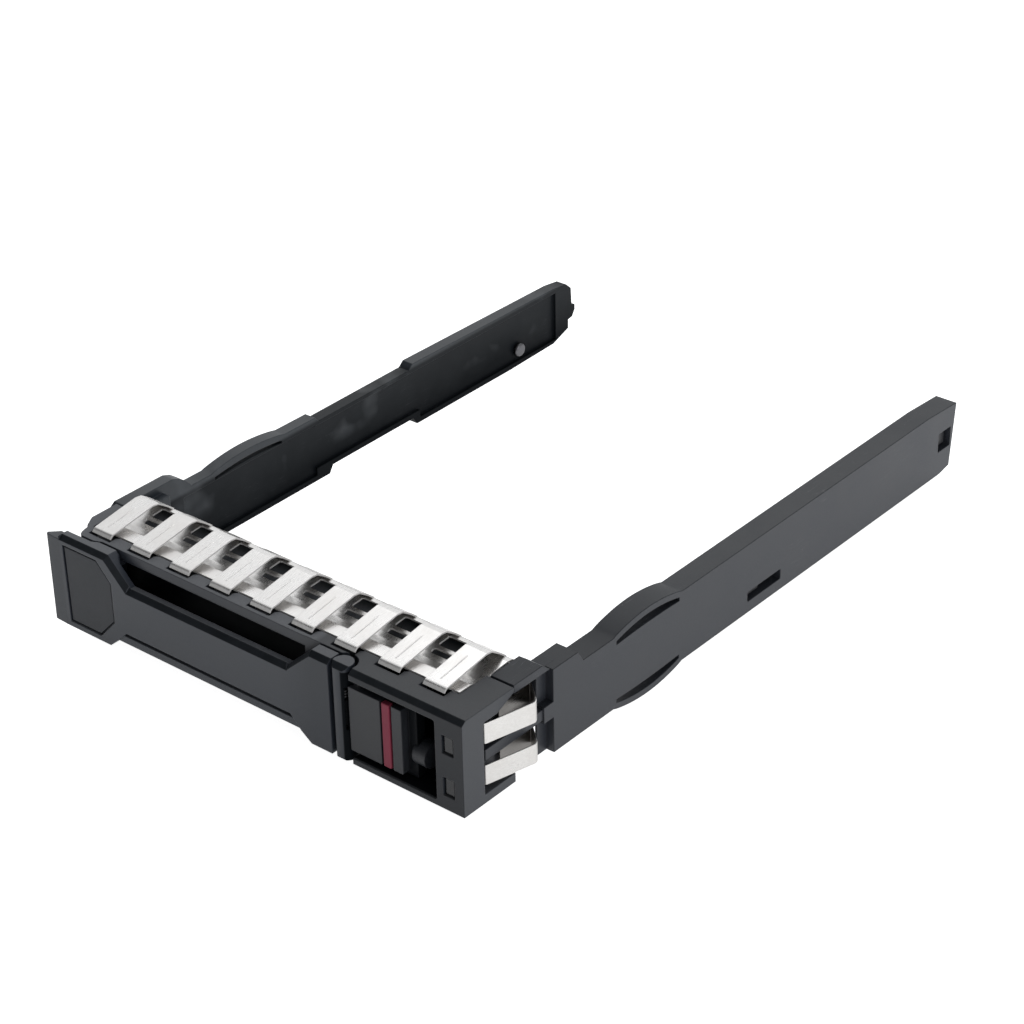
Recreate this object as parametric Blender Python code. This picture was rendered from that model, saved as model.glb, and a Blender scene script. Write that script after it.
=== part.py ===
"""Hot-swap carrier for a 2.5 inch hard disk drive: front bezel with an ejector
lever and a sliding release latch, two side rails, contact springs and light pipes.

Frame: metres, +Z up. X runs across the front, right is +X. Y runs from the front
back along the rails. Z = 0 is the underside of the bezel and rails. The origin is
the middle of the bezel's flat underside, ORIGIN_Y behind the front face.
Every length below is in millimetres, with Y measured from the front face; finish()
moves each piece to the origin, and MM scales it to metres.
"""
import math

import bmesh
import bpy
from mathutils import Matrix, Vector

MM = 0.001
GAP = 0.3              # clearance between neighbouring pieces
ORIGIN_Y = 8.0         # from the front face back to the origin
SMOOTH_ANGLE = 30.0    # degrees; sharper edges are shaded flat

# Cutters that leave the bezel or lever run on to these planes outside it.
OUTSIDE = -1           # in front of the face, and below the underside
OUTSIDE_TOP, OUTSIDE_REAR, OUTSIDE_RIGHT = 16, 18, 41

# ---- driving dimensions ------------------------------------------------------
BEZEL_LEFT, BEZEL_RIGHT = -36.7, 39.0
BEZEL_H = 14.9
BEZEL_REAR = 16.4
CHAMFER_Y, CHAMFER_Z = 0.8, 0.6    # top front edges of bezel and lever

RAIL_OUT = 38.8        # outer face of both rails
RAIL_WEB = 1.6         # web thickness
WEB_IN = RAIL_OUT - RAIL_WEB
RAIL_IN = 35.1         # inner edge of the right flanges: the drive is 69.85 wide
LEFT_IN = 36.7         # inner edge of the left rail's narrow flanges
RAIL_H = 11.5
LEFT_H = 11.2          # upper edge of the left rail
RAIL_FRONT, RAIL_REAR = 16.7, 118.0
CHANNEL_REAR = 112.4
SHOULDER_H, SHOULDER_REAR = 13.3, 24.4
FLANGE = 1.3
LEAF_SPAN, LEAF_RISE = (31.6, 47.2), 1.25
LEFT_LEAF_SPAN, LEFT_LEAF_RISE = (30.4, 46.4), 0.95

PIVOT_X, PIVOT_Y = PIVOT = (17.33, 1.3)    # lever hinge axis, parallel to Z
HINGE_ORIGIN = (PIVOT_X, PIVOT_Y, 0.0)
BARREL_R = 1.53
HINGE_PIN_R = 0.5
LUG_R = 0.95
LUG_Z0, LUG_Z1 = 5.2, 9.3

LEVER_LEFT = -39.4
LEVER_T = 2.4
BAR_BOTTOM, BAR_TOP = 1.3, 10.85
BAR_X0, BAR_X1 = -23.1, 7.6        # ends of the bar's level top edge
BLOCK_RIGHT = -27.2                # right end of the left block's top edge

LATCH_X0, LATCH_X1 = 18.9, 28.2
LATCH_Z = (1.95, 12.1)
LATCH_FACE = 0.3
STRIPE_X0, STRIPE_X1 = 24.8, 26.15
POST_Y, POST_Z, POST_R = 2.9, 5.1, 1.9
LATCH_ORIGIN = (LATCH_X0, POST_Y, POST_Z)
WINDOW_X = (18.7, 34.3)
WINDOW_Z0, WINDOW_Z1 = 0.9, 13.4

WIRE_R = 0.16          # wire of both return springs

SEAT_Z = 13.3          # seat of the contact sheet on the bezel
SHEET_T, SIDE_FINGER_T = 0.25, 0.22
FINGERS = 9
FINGER_X0, FINGER_PITCH, FINGER_W = -31.6, 7.83, 3.7
FINGER_XS = [FINGER_X0 + i * FINGER_PITCH for i in range(FINGERS)]

DRIVE_PIN_Z = 2.8      # drive screw-hole line above the underside
DRIVE_PIN_YS = (("front", 26.2), ("rear", 102.8))   # 76.6 apart, the drive's side holes

LENS_X = (35.75, 37.15)
PIPE_X = (35.5, 36.4)
LENS_CLEAR = 0.25      # above and below each lens
# name, lens z range, z range of the bar, z range of the bezel's slot for the bar
LIGHTS = (
    ("upper_light_pipe", (9.1, 11.5), (8.45, 9.75), (8.1, 10.2)),
    ("lower_light_pipe", (2.45, 4.85), (4.55, 5.65), (4.2, 6.0)),
)

# kind: linear RGBA, roughness, metallic
MATERIALS = {
    "black_plastic": ((0.040, 0.043, 0.050, 1), 0.45, 0.0),
    "rail_plastic": ((0.045, 0.046, 0.052, 1), 0.5, 0.0),
    "label_grey": ((0.062, 0.063, 0.067, 1), 0.6, 0.0),
    "maroon_plastic": ((0.165, 0.045, 0.065, 1), 0.45, 0.0),
    "spring_steel": ((0.74, 0.73, 0.72, 1), 0.28, 1.0),
    "dark_lens": ((0.060, 0.062, 0.068, 1), 0.2, 0.0),
    "pin_steel": ((0.55, 0.55, 0.56, 1), 0.3, 1.0),
}


# ---- scene helpers -----------------------------------------------------------
def material(piece, kind):
    colour, roughness, metallic = MATERIALS[kind]
    made = bpy.data.materials.new(piece + "_" + kind)
    made.use_nodes = True
    shader = made.node_tree.nodes["Principled BSDF"]
    shader.inputs["Base Color"].default_value = colour
    shader.inputs["Roughness"].default_value = roughness
    shader.inputs["Metallic"].default_value = metallic
    return made


def finish(obj, kind, pivot=(0, ORIGIN_Y, 0)):
    """Give the piece its material and shading, and put its origin at pivot."""
    obj.data.materials.clear()
    obj.data.materials.append(material(obj.name, kind))
    for polygon in obj.data.polygons:
        polygon.material_index = 0
    obj.data.shade_smooth()
    obj.data.set_sharp_from_angle(angle=math.radians(SMOOTH_ANGLE))
    obj.data.transform(Matrix.Translation(-Vector(pivot) * MM))
    obj.location = (Vector(pivot) - Vector((0, ORIGIN_Y, 0))) * MM


def add_mesh(bm, name):
    bmesh.ops.recalc_face_normals(bm, faces=bm.faces)
    mesh = bpy.data.meshes.new(name)
    bm.to_mesh(mesh)
    bm.free()
    obj = bpy.data.objects.new(name, mesh)
    bpy.context.scene.collection.objects.link(obj)
    return obj


# ---- solids; those without a name are used up by cut() or join() --------------
def at(axis, first, second, along):
    """The point with these two in-plane coordinates, at a place along the axis."""
    if axis == "x":
        return Vector((along, first, second)) * MM
    if axis == "y":
        return Vector((first, along, second)) * MM
    return Vector((first, second, along)) * MM


def prism(outline, axis, low, high, name="tool"):
    """Extrude a closed outline along x, y or z; its points are (y, z), (x, z) or (x, y)."""
    bm = bmesh.new()
    face = bm.faces.new([bm.verts.new(at(axis, *point, low)) for point in outline])
    grown = bmesh.ops.extrude_face_region(bm, geom=[face])
    moved = [v for v in grown["geom"] if isinstance(v, bmesh.types.BMVert)]
    bmesh.ops.translate(bm, verts=moved, vec=at(axis, 0, 0, high - low))
    return add_mesh(bm, name)


def block(x, y, z, name="tool"):
    """A box from its (low, high) range on each axis."""
    outline = [(x[0], y[0]), (x[1], y[0]), (x[1], y[1]), (x[0], y[1])]
    return prism(outline, "z", z[0], z[1], name)


def circle(centre, radius, steps=24, start=0.0, sweep=360.0):
    """Points round a circle, or along an arc with both ends; angles in degrees."""
    count = steps if abs(sweep) >= 360 else steps + 1
    angles = [math.radians(start + sweep * i / steps) for i in range(count)]
    return [
        (centre[0] + radius * math.cos(angle), centre[1] + radius * math.sin(angle))
        for angle in angles
    ]


def rod(axis, centre, radius, low, high, steps=24, name="tool"):
    return prism(circle(centre, radius, steps), axis, low, high, name)


def chamfer_cutter(z, top, x0, x1, start_y=0.0):
    """Wedge that takes off a front edge at height z, between x0 and x1."""
    low = z - CHAMFER_Z
    outline = [(OUTSIDE, low), (OUTSIDE, top), (CHAMFER_Y, top), (CHAMFER_Y, z), (start_y, low)]
    return prism(outline, "x", x0, x1)


def skin(rings, name):
    """A solid through rings of points in metres, with flat ends."""
    bm = bmesh.new()
    loops = [[bm.verts.new(point) for point in ring] for ring in rings]
    for near, far in zip(loops, loops[1:]):
        for i in range(len(near)):
            j = (i + 1) % len(near)
            bm.faces.new((near[i], near[j], far[j], far[i]))
    bm.faces.new(loops[0])
    bm.faces.new(loops[-1])
    return add_mesh(bm, name)


def coil(centre, radius, turns, steps, low, pitch, start=0.0):
    """Points of a helix: two coordinates across its axis, then the one along it."""
    points = []
    for i in range(int(turns * steps) + 1):
        angle = math.radians(start) + 2 * math.pi * i / steps
        first = centre[0] + radius * math.cos(angle)
        second = centre[1] + radius * math.sin(angle)
        points.append((first, second, low + pitch * i / steps))
    return points


def wire(points, name, sides=8):
    """A round wire along a list of points."""
    rings = []
    side = None
    for i, point in enumerate(points):
        ahead = Vector(points[min(i + 1, len(points) - 1)])
        back = Vector(points[max(i - 1, 0)])
        along = (ahead - back).normalized()
        if side is None:
            side = along.orthogonal().normalized()
        # carry the last ring's direction on, so that the wire does not twist
        side = (side - along * side.dot(along)).normalized()
        up = along.cross(side)
        ring = []
        for k in range(sides):
            turn = 2 * math.pi * k / sides
            spoke = side * math.cos(turn) + up * math.sin(turn)
            ring.append((Vector(point) + spoke * WIRE_R) * MM)
        rings.append(ring)
    return skin(rings, name)


def offset_path(path, thickness):
    """A closed outline of even thickness around an open path, mitred at the bends."""
    normals = []
    for (x0, y0), (x1, y1) in zip(path, path[1:]):
        length = math.hypot(x1 - x0, y1 - y0)
        normals.append((-(y1 - y0) / length, (x1 - x0) / length))
    left, right = [], []
    for (x, y), before, after in zip(path, normals[:1] + normals, normals + normals[-1:]):
        across_x, across_y = before[0] + after[0], before[1] + after[1]
        length = math.hypot(across_x, across_y)
        across_x, across_y = across_x / length, across_y / length
        # the mitre grows with the bend, to twice the half thickness at most
        half = thickness / 2 / max(0.5, across_x * before[0] + across_y * before[1])
        left.append((x + across_x * half, y + across_y * half))
        right.append((x - across_x * half, y - across_y * half))
    return left + right[::-1]


def combine(obj, tools, operation):
    """Apply one exact Boolean per tool, then remove the tool."""
    for tool in tools:
        mod = obj.modifiers.new("step", "BOOLEAN")
        mod.operation = operation
        mod.solver = "EXACT"
        mod.object = tool
        tool.hide_render = True
        bpy.context.view_layer.update()
        graph = bpy.context.evaluated_depsgraph_get()
        made = bpy.data.meshes.new_from_object(obj.evaluated_get(graph))
        obj.modifiers.remove(mod)
        obj.data = made
        bpy.data.objects.remove(tool)


def cut(obj, *tools):
    combine(obj, tools, "DIFFERENCE")


def join(obj, *tools):
    combine(obj, tools, "UNION")


# ---- bezel frame -------------------------------------------------------------
FLOOR_Z = 1.4          # top of the lower plate
CEILING_Z = 12.2       # underside of the upper plate, towards the front
CROSS_WALL_FRONT, CROSS_WALL_REAR = 8.8, 10.4

# (x, y) seen from above
BEZEL_OUTLINE = (
    [(BEZEL_RIGHT, 0.0), (BEZEL_RIGHT, CROSS_WALL_REAR), (34.0, CROSS_WALL_REAR)]
    + [(34.0, BEZEL_REAR), (-34.2, BEZEL_REAR), (-34.2, 11.4), (BEZEL_LEFT, 11.4)]
    # left front corner, cut back in steps
    + [(BEZEL_LEFT, 6.6), (-35.6, 4.7), (-35.2, 4.4), (-34.9, 3.1), (-34.3, 2.2)]
    + [(-31.6, 2.2), (-30.4, 2.75), (8.9, 2.65), (9.2, 2.75), (15.6, 2.75)]
    # hollow round the hinge barrel
    + circle(PIVOT, 2.1, 10, 136, -127)
    + [(19.4, 1.4), (19.4, 0.0)]
)
# (y, z) of the opening in the right side
SIDE_OPENING = [(4.2, 1.4), (12, 1.4), (12, 14.1), (10.2, 14.1), (7.0, 12.7), (4.2, 12.7)]


def cut_bezel_hollows(bezel):
    plate_z = (FLOOR_Z, CEILING_Z)
    cut(
        bezel,
        # finger space behind the lever bar, open to the front
        block((-27.2, 11.0), (OUTSIDE, CROSS_WALL_FRONT), plate_z),
        # the top plate is thin along its front edge
        block((-27.2, 9.0), (OUTSIDE, 4.6), (12.0, 13.35)),
        # the lower plate stands back so that the lever bar hangs clear of it
        block((-27.4, 11.2), (OUTSIDE, 4.2), (OUTSIDE, CEILING_Z)),
        # pocket behind the label block and the left wall
        block((-35.6, -26.9), (4.2, CROSS_WALL_FRONT), plate_z),
        # hollow behind the cross wall, open to the rear
        block((-32.6, 32.4), (CROSS_WALL_REAR, OUTSIDE_REAR), (FLOOR_Z, 12.0)),
        # latch window and the chamber behind it
        block(WINDOW_X, (OUTSIDE, 4.5), (WINDOW_Z0, WINDOW_Z1)),
        block(WINDOW_X, (4.4, 6.6), (WINDOW_Z0, 12.5)),
        # seat for the contact sheet on the top
        block((-34.6, 34.4), (4.95, OUTSIDE_REAR), (SEAT_Z, OUTSIDE_TOP)),
        # side opening for the two side contacts
        prism(SIDE_OPENING, "x", 36.5, OUTSIDE_RIGHT),
        block((34.3, OUTSIDE_RIGHT), (10.1, 12), (FLOOR_Z, 13.6)),
        block((34.35, OUTSIDE_RIGHT), (CROSS_WALL_REAR, 12), (SEAT_Z, OUTSIDE_TOP)),
    )
    # notches under the finger tips
    for x in FINGER_XS:
        cut(bezel, block((x - 2.25, x + 2.1), (3.3, 5.1), (13.0, OUTSIDE_TOP)))


def cut_light_slots(bezel):
    """Front window, slot for the bar and slot for the riser of each light pipe."""
    window_x = (LENS_X[0] - GAP, LENS_X[1] + GAP)
    slot_x = (PIPE_X[0] - GAP, PIPE_X[1] + GAP)
    for _, lens_z, _, slot_z in LIGHTS:
        window_z = (lens_z[0] - LENS_CLEAR, lens_z[1] + LENS_CLEAR)
        riser_z = (min(window_z[0], slot_z[0]), max(window_z[1], slot_z[1]))
        cut(
            bezel,
            block(window_x, (OUTSIDE, 3.6), window_z),
            block(slot_x, (2.1, 12), slot_z),
            block(slot_x, (2.1, 4.1), riser_z),
        )


def build_bezel():
    bezel = prism(BEZEL_OUTLINE, "z", 0.0, BEZEL_H, "bezel_frame")
    cut_bezel_hollows(bezel)
    cut_light_slots(bezel)
    cut(
        bezel,
        # sweep of the lever heel
        rod("z", PIVOT, 3.75, 1.3, 4.9),
        # room for the lever's return spring and its leg
        rod("z", PIVOT, 1.9, 9.35, 12.0),
        block((8.0, PIVOT_X), (2.3, 3.5), (9.35, 12.0)),
        chamfer_cutter(BEZEL_H, OUTSIDE_TOP, 19.3, OUTSIDE_RIGHT),
    )
    # lug that carries the hinge pin
    join(
        bezel,
        block((PIVOT_X - LUG_R, PIVOT_X + LUG_R), (PIVOT_Y, 4.2), (LUG_Z0, LUG_Z1)),
        rod("z", PIVOT, LUG_R, LUG_Z0 - 0.001, LUG_Z1 + 0.001),
    )
    cut(bezel, rod("z", PIVOT, HINGE_PIN_R + 0.06, LUG_Z0 - 1, LUG_Z1 + 1, 16))
    finish(bezel, "black_plastic")


# ---- rails -------------------------------------------------------------------
def leaf_arc(span, z, rise, sign=1, steps=10):
    """(y, z) arc over a y span; sign is 1 for an upward arc, -1 for a downward one."""
    points = []
    for i in range(steps + 1):
        part = i / steps
        lift = rise * math.sin(math.pi * part) ** 0.8
        points.append((span[0] + (span[1] - span[0]) * part, z + sign * lift))
    return points


def leaf_slit(inner, outer, low, high):
    """Cutter between two arcs that frees a leaf spring; their end points are left off."""
    return prism(inner[1:-1] + outer[1:-1][::-1], "x", low, high)


# (y, z) of the left rail's edge, on either side of its leaf spring
LEFT_BEFORE_LEAF = [
    (11.8, 1.6), (11.8, 13.2), (12.9, 13.95), (22.6, 13.9),
    (24.0, 13.4), (25.2, 12.5), (26.4, LEFT_H + 0.05),
]
LEFT_AFTER_LEAF = [
    (53.2, 11.1), (53.9, 10.3), (75.0, 10.3), (76.0, 11.15), (112.0, 10.55), (115.4, 10.1),
    (116.6, 9.0), (116.8, 5.7), (117.6, 5.55), (117.6, 4.6), (116.9, 3.5), (115.8, 3.3),
    (115.8, 1.7), (111.8, 0.3), (100.2, 0.0), (76.6, 0.0), (75.8, 1.3), (56.6, 1.3),
    (55.8, 0.0), (RAIL_FRONT, 0.0), (RAIL_FRONT, 1.6),
]
# (y, z) above the slope from the right rail's ledge down to its shoulder
LEDGE_SLOPE = [
    (16.6, 16), (16.6, BEZEL_H + 0.01), (18.6, SHOULDER_H + 0.01), (22, SHOULDER_H + 0.01), (22, 16),
]
# x, radius of a drive pin, from its base in the web to its domed tip
DRIVE_PIN_PROFILE = [
    (WEB_IN + 0.9, 0.8), (WEB_IN - GAP, 0.8), (WEB_IN - GAP, 1.2),
    (WEB_IN - 0.65, 1.15), (WEB_IN - 0.85, 0.95), (WEB_IN - 0.95, 0.6),
]


def add_drive_pins(rail, side, word):
    """Drill the web at two of the drive's side holes and put in short domed pins."""
    low, high = sorted((side * (WEB_IN - 0.5), side * (RAIL_OUT - 0.35)))
    for place, y in DRIVE_PIN_YS:
        centre = (y, DRIVE_PIN_Z)
        cut(rail, rod("x", centre, 0.95, low, high))
        rings = [
            [at("x", *point, side * x) for point in circle(centre, radius, 20)]
            for x, radius in DRIVE_PIN_PROFILE
        ]
        finish(skin(rings, "drive_pin_%s_%s" % (place, word)), "pin_steel")


def build_right_rail():
    """Channel rail: a web with wide flanges, leaf springs above and below."""
    outline = (
        [(RAIL_FRONT, 0.0), (RAIL_FRONT, SHOULDER_H), (SHOULDER_REAR - 0.4, SHOULDER_H)]
        + [(SHOULDER_REAR + 0.7, RAIL_H)]
        + leaf_arc(LEAF_SPAN, RAIL_H, LEAF_RISE)
        + [(110.0, RAIL_H), (RAIL_REAR, 11.0), (RAIL_REAR - 1.2, 0.5), (114.2, 0.0)]
        + leaf_arc(LEAF_SPAN, 0.0, LEAF_RISE, -1)[::-1]
    )
    rail = prism(outline, "x", RAIL_IN, RAIL_OUT, "right_rail")
    # channel between the flanges, open towards the drive
    cut(rail, block((RAIL_IN - 1, WEB_IN), (RAIL_FRONT - 1, CHANNEL_REAR), (FLANGE, 10.4)))
    # curved slits, widest in the middle
    for z, sign in ((RAIL_H, 1), (0.0, -1)):
        inner = leaf_arc(LEAF_SPAN, z - sign * 1.35, 0.25, sign)
        outer = leaf_arc(LEAF_SPAN, z - sign * 1.0, 1.25, sign)
        cut(rail, leaf_slit(inner, outer, RAIL_IN - 1, RAIL_OUT + 1))
    # pockets behind the side contacts
    for z in ((8.2, SHOULDER_H + 1), (-1, 5.7)):
        cut(rail, block((37.5, RAIL_OUT + 1), (RAIL_FRONT - 1, 18.7), z))
    join(
        rail,
        # tongue that lies in the side opening of the bezel
        block((37.3, 38.6), (4.9, 19.2), (6.2, 7.9)),
        # top ledge over it, and the block below the ledge
        block((34.75, 38.7), (10.8, 19.4), (13.62, BEZEL_H)),
        block((35.2, 37.45), (16.8, 20.5), (11.0, 14.3)),
    )
    cut(
        rail,
        prism(LEDGE_SLOPE, "x", 33, 41),
        # holes in the web for the middle and rear clips
        block((36.5, 40), (62.9, 71.1), (1.85, 3.5)),
        block((36.5, 40), (113.3, 116.7), (4.15, 7.4)),
        # space along the web for the light pipes
        block((34, 36.9), (17, 117.0), (FLANGE, 10.2)),
    )
    add_drive_pins(rail, 1, "right")
    finish(rail, "rail_plastic")


def build_left_rail():
    """Flat rail: a web with narrow flanges, one leaf spring and a foot at the front."""
    leaf = leaf_arc(LEFT_LEAF_SPAN, LEFT_H, LEFT_LEAF_RISE)
    outline = LEFT_BEFORE_LEAF + leaf + LEFT_AFTER_LEAF
    rail = prism(outline, "x", -RAIL_OUT, -LEFT_IN, "left_rail")
    inside = -(LEFT_IN - 1)
    # recesses between the flanges, front to rear
    for y, z in (
        ((24.6, 53.0), (0.9, 9.8)),
        ((52.9, 77.5), (2.2, 9.6)),
        ((77.4, CHANNEL_REAR), (0.9, 9.6)),
    ):
        cut(rail, block((-WEB_IN, inside), y, z))
    inner = leaf_arc(LEFT_LEAF_SPAN, LEFT_H - 1.35, 0.5)
    outer = leaf_arc(LEFT_LEAF_SPAN, LEFT_H - 0.95, 0.7)
    cut(rail, leaf_slit(inner, outer, -(RAIL_OUT + 1), inside))
    # foot that meets the rear corner of the bezel
    join(
        rail,
        block((-36.9, -34.5), (11.85, 16.2), (1.65, 12.6)),
        block((-36.9, -35.2), (16.1, 20.5), (1.65, 12.6)),
    )
    add_drive_pins(rail, -1, "left")
    finish(rail, "rail_plastic")


# ---- ejector lever -----------------------------------------------------------
# (x, z) seen from the front: lower edge left to right, then the top edge back
LEVER_OUTLINE = [
    (-36.9, 0.0), (-27.6, 0.0), (-26.2, BAR_BOTTOM), (10.0, BAR_BOTTOM), (11.8, 0.0), (15.6, 0.0),
    (15.6, BEZEL_H), (12.1, BEZEL_H), (BAR_X1, BAR_TOP), (BAR_X0, BAR_TOP),
    (BLOCK_RIGHT, BEZEL_H), (-36.7, BEZEL_H),
]
# (x, y) cut from the back, where the left end and the bar are thinner
LEFT_END_BACK = [
    (-41, 1.85), (-31.8, 1.85), (-30.6, LEVER_T + 0.01), (-30.6, 4), (-41, 4),
]
BAR_BACK = [(-26.6, 4), (-26.6, 2.2), (-25.8, 1.7), (9.2, 1.7), (10.0, 2.2), (10.0, 4)]
# (x, z) of the set-back strip along the bar's lower edge, and of the groove above it
STRIP = [(-27.25, BAR_BOTTOM - 1), (-24.05, 3.35), (8.0, 3.35), (10.95, BAR_BOTTOM - 1)]
GROOVE = [(-24.9, 2.5), (-24.05, 3.35), (8.0, 3.35), (8.75, 2.5)]
# (x, y) of the lip on the free end
LIP = [
    (-36.2, 0.0), (-36.2, 1.8), (-37.9, 1.85), (LEVER_LEFT, 0.45), (-39.2, 0.12), (-36.8, 0.0),
]
# (x, y) cut from the right and rear of the barrel, level with the lug and spring
BARREL_OPENING = [PIVOT, (14.9, 1.98), (14.9, 4.5), (20.6, 4.5), (20.6, -0.3), (18.7, -0.3)]
OPENING_Z = (4.9, 11.7)
# (x, z) of the recess in the left block, and of the label that lies in it
LABEL_RECESS = [
    (-35.85, 0.86), (-36.0, 13.7), (-29.0, 13.7), (-26.3, 10.8), (-26.3, 4.2), (-29.5, 0.86),
]
LABEL = [
    (-35.55, 1.16), (-35.7, 13.4), (-29.15, 13.4), (-26.6, 10.7), (-26.6, 4.35), (-29.65, 1.16),
]


def hinge_barrel():
    """Barrel with a flat front, and the neck that ties it to the lever."""
    barrel = rod("z", PIVOT, BARREL_R, 0.0, BEZEL_H, 32)
    join(barrel, block((15.0, 17.0), (1.75, LEVER_T), (0.0, 14.0)))
    cut(barrel, block((14, 21), (-2, 0.0), (OUTSIDE, OUTSIDE_TOP)))
    return barrel


def build_lever():
    lever = prism(LEVER_OUTLINE, "y", 0.0, LEVER_T, "ejector_lever")
    cut(
        lever,
        prism(LEFT_END_BACK, "z", OUTSIDE, OUTSIDE_TOP),
        prism(BAR_BACK, "z", OUTSIDE, OUTSIDE_TOP),
        prism(STRIP, "y", OUTSIDE, 0.35),
        prism(GROOVE, "y", -0.9, 0.9),
    )
    # the lip stands past the side of the bezel
    join(lever, prism(LIP, "z", 0.0, 14.4))
    # chamfers on the level top edges of the left block and the bar
    for x0, x1, z in ((-36.6, BLOCK_RIGHT, BEZEL_H), (BAR_X0, BAR_X1, BAR_TOP)):
        cut(lever, chamfer_cutter(z, z + 1.5, x0 - 0.35, x1 + 0.35, start_y=-0.0001))
    join(lever, hinge_barrel())
    # heel that the latch holds
    join(lever, block((17.1, 20.5), (1.9, 2.7), (1.9, 4.3)))
    cut(
        lever,
        prism(BARREL_OPENING, "z", *OPENING_Z),
        rod("z", PIVOT, 1.2, *OPENING_Z),
        # hole for the hinge pin
        rod("z", PIVOT, HINGE_PIN_R + 0.12, OUTSIDE, 13.6, 16),
        prism(LABEL_RECESS, "y", OUTSIDE, 0.75),
    )
    finish(lever, "black_plastic", HINGE_ORIGIN)


def build_lever_label():
    label = prism(LABEL, "y", 0.12, 0.45, "lever_label_insert")
    finish(label, "label_grey", HINGE_ORIGIN)


def build_hinge_pin():
    pin = rod("z", PIVOT, HINGE_PIN_R, 0.4, 13.3, 16, "lever_hinge_pin")
    finish(pin, "pin_steel")


def build_lever_spring():
    """Torsion spring on the pin, one leg along the lever's back and one into the frame."""
    z = 9.75
    lead = [(11.0, 2.78, z), (14.4, 2.85, z), (15.95, 2.75, z), (16.5, 2.2, z)]
    winding = coil(PIVOT, 0.82, turns=2.75, steps=16, low=z, pitch=0.42, start=180)
    tail_z = winding[-1][2] + 0.02
    tail = [(PIVOT_X - 0.2, 2.35, tail_z), (PIVOT_X - 0.3, 3.05, tail_z)]
    finish(wire(lead + winding + tail, "lever_return_spring"), "spring_steel")


# ---- release latch -----------------------------------------------------------
# (x, y) cut from the left edge of the face, clear of the hinge barrel
BARREL_CLEARANCE = [(18.5, 0.7), (18.91, 0.7), (19.25, 1.0), (19.25, 2.5), (18.5, 2.5)]


def build_latch():
    face_y = (LATCH_FACE, 2.0)
    slot_x0, slot_x1 = STRIPE_X0 - GAP, STRIPE_X1 + GAP
    latch = block((LATCH_X0, slot_x0), face_y, LATCH_Z, "release_latch")
    join(
        latch,
        block((slot_x1, LATCH_X1), face_y, LATCH_Z),
        # base plate behind the face, the guide rib and the round post
        block((21.6, 29.6), (1.75, 3.3), (1.25, 13.05)),
        block((21.4, 23.4), (1.6, 3.3), (5.6, 12.4)),
        rod("x", (POST_Y, POST_Z), POST_R, 29.2, 31.4),
    )
    # clearance for the hinge barrel and the lever heel
    cut(
        latch,
        prism(BARREL_CLEARANCE, "z", 1, 13),
        block((18, 21.5), (1.7, 6), (1.4, 4.9)),
    )
    # catch nose behind the heel, and its root
    join(
        latch,
        block((20.85, 23.0), (3.45, 4.4), (1.8, 4.5)),
        block((22.2, 24.0), (2.5, 4.4), (1.8, 4.5)),
    )
    # groove round the stripe
    cut(latch, block((slot_x0 - 0.05, slot_x1 + 0.05), (OUTSIDE, 1.45), (0, 14)))
    # lug that pushes on the return spring
    join(latch, block((24.6, 25.8), (3.1, 5.8), (10.2, 12.1)))
    finish(latch, "black_plastic", LATCH_ORIGIN)


def build_latch_stripe():
    stripe = block((STRIPE_X0, STRIPE_X1), (0.22, 1.15), LATCH_Z, "latch_stripe_insert")
    finish(stripe, "maroon_plastic", LATCH_ORIGIN)


def build_latch_spring():
    turns, x0, x1 = 7.0, 26.1, 34.0
    winding = coil((5.0, 11.3), 0.7, turns=turns, steps=12, low=x0, pitch=(x1 - x0) / turns)
    finish(wire([(x, y, z) for y, z, x in winding], "latch_return_spring"), "spring_steel")


# ---- contact sheets ----------------------------------------------------------
# (y, z) along the middle of the sheet on the bezel's top, and of its fingers
TOP_SHEET_PATH = [
    (5.3, 14.75), (7.6, 14.75), (8.6, 14.35), (9.8, 13.85), (11.0, 13.95),
    (12.6, 14.3), (15.0, 14.45), (16.3, 14.3), (16.75, 13.2),
]
TOP_FINGER_PATH = [
    (3.75, 14.95), (4.2, 15.45), (12.3, 16.6), (13.4, 16.45), (15.0, 15.35), (16.2, 14.35),
]
# (x, y) along the middle of the side fingers
SIDE_FINGER_PATH = [(37.9, 4.95), (38.55, 4.85), (40.6, 12.7), (40.3, 13.3), (36.95, 16.2)]


def build_top_sheet():
    sheet = prism(offset_path(TOP_SHEET_PATH, SHEET_T), "x", -34.2, 34.1, "top_emi_spring")
    # two slots midway between neighbouring fingers
    for i in range(FINGERS - 1):
        x = FINGER_X0 + (i + 0.5) * FINGER_PITCH
        for y in ((11.0, 12.0), (12.6, 15.1)):
            cut(sheet, block((x - 3.1, x + 3.1), y, (12, 16)))
    finger = offset_path(TOP_FINGER_PATH, SHEET_T)
    for x in FINGER_XS:
        join(sheet, prism(finger, "x", x - FINGER_W / 2, x + FINGER_W / 2))
    finish(sheet, "spring_steel")


def build_side_sheet():
    sheet = block((36.85, 37.05), (9.6, 16.35), (1.75, 12.3), "side_emi_spring")
    finger = offset_path(SIDE_FINGER_PATH, SIDE_FINGER_T)
    for z0, z1 in ((8.9, 12.1), (2.4, 5.5)):
        join(sheet, prism(finger, "z", z0, z1))
    finish(sheet, "spring_steel")


def build_back_plate():
    """Thin plate behind the bezel with a row of eight windows."""
    plate = block((-33.6, 33.5), (16.75, 17.0), (1.0, 12.6), "emi_back_plate")
    for i in range(8):
        x = -29.4 + i * 8.4
        cut(plate, block((x - 2.6, x + 2.6), (16, 18), (3.4, 10.2)))
    finish(plate, "spring_steel")


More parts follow.
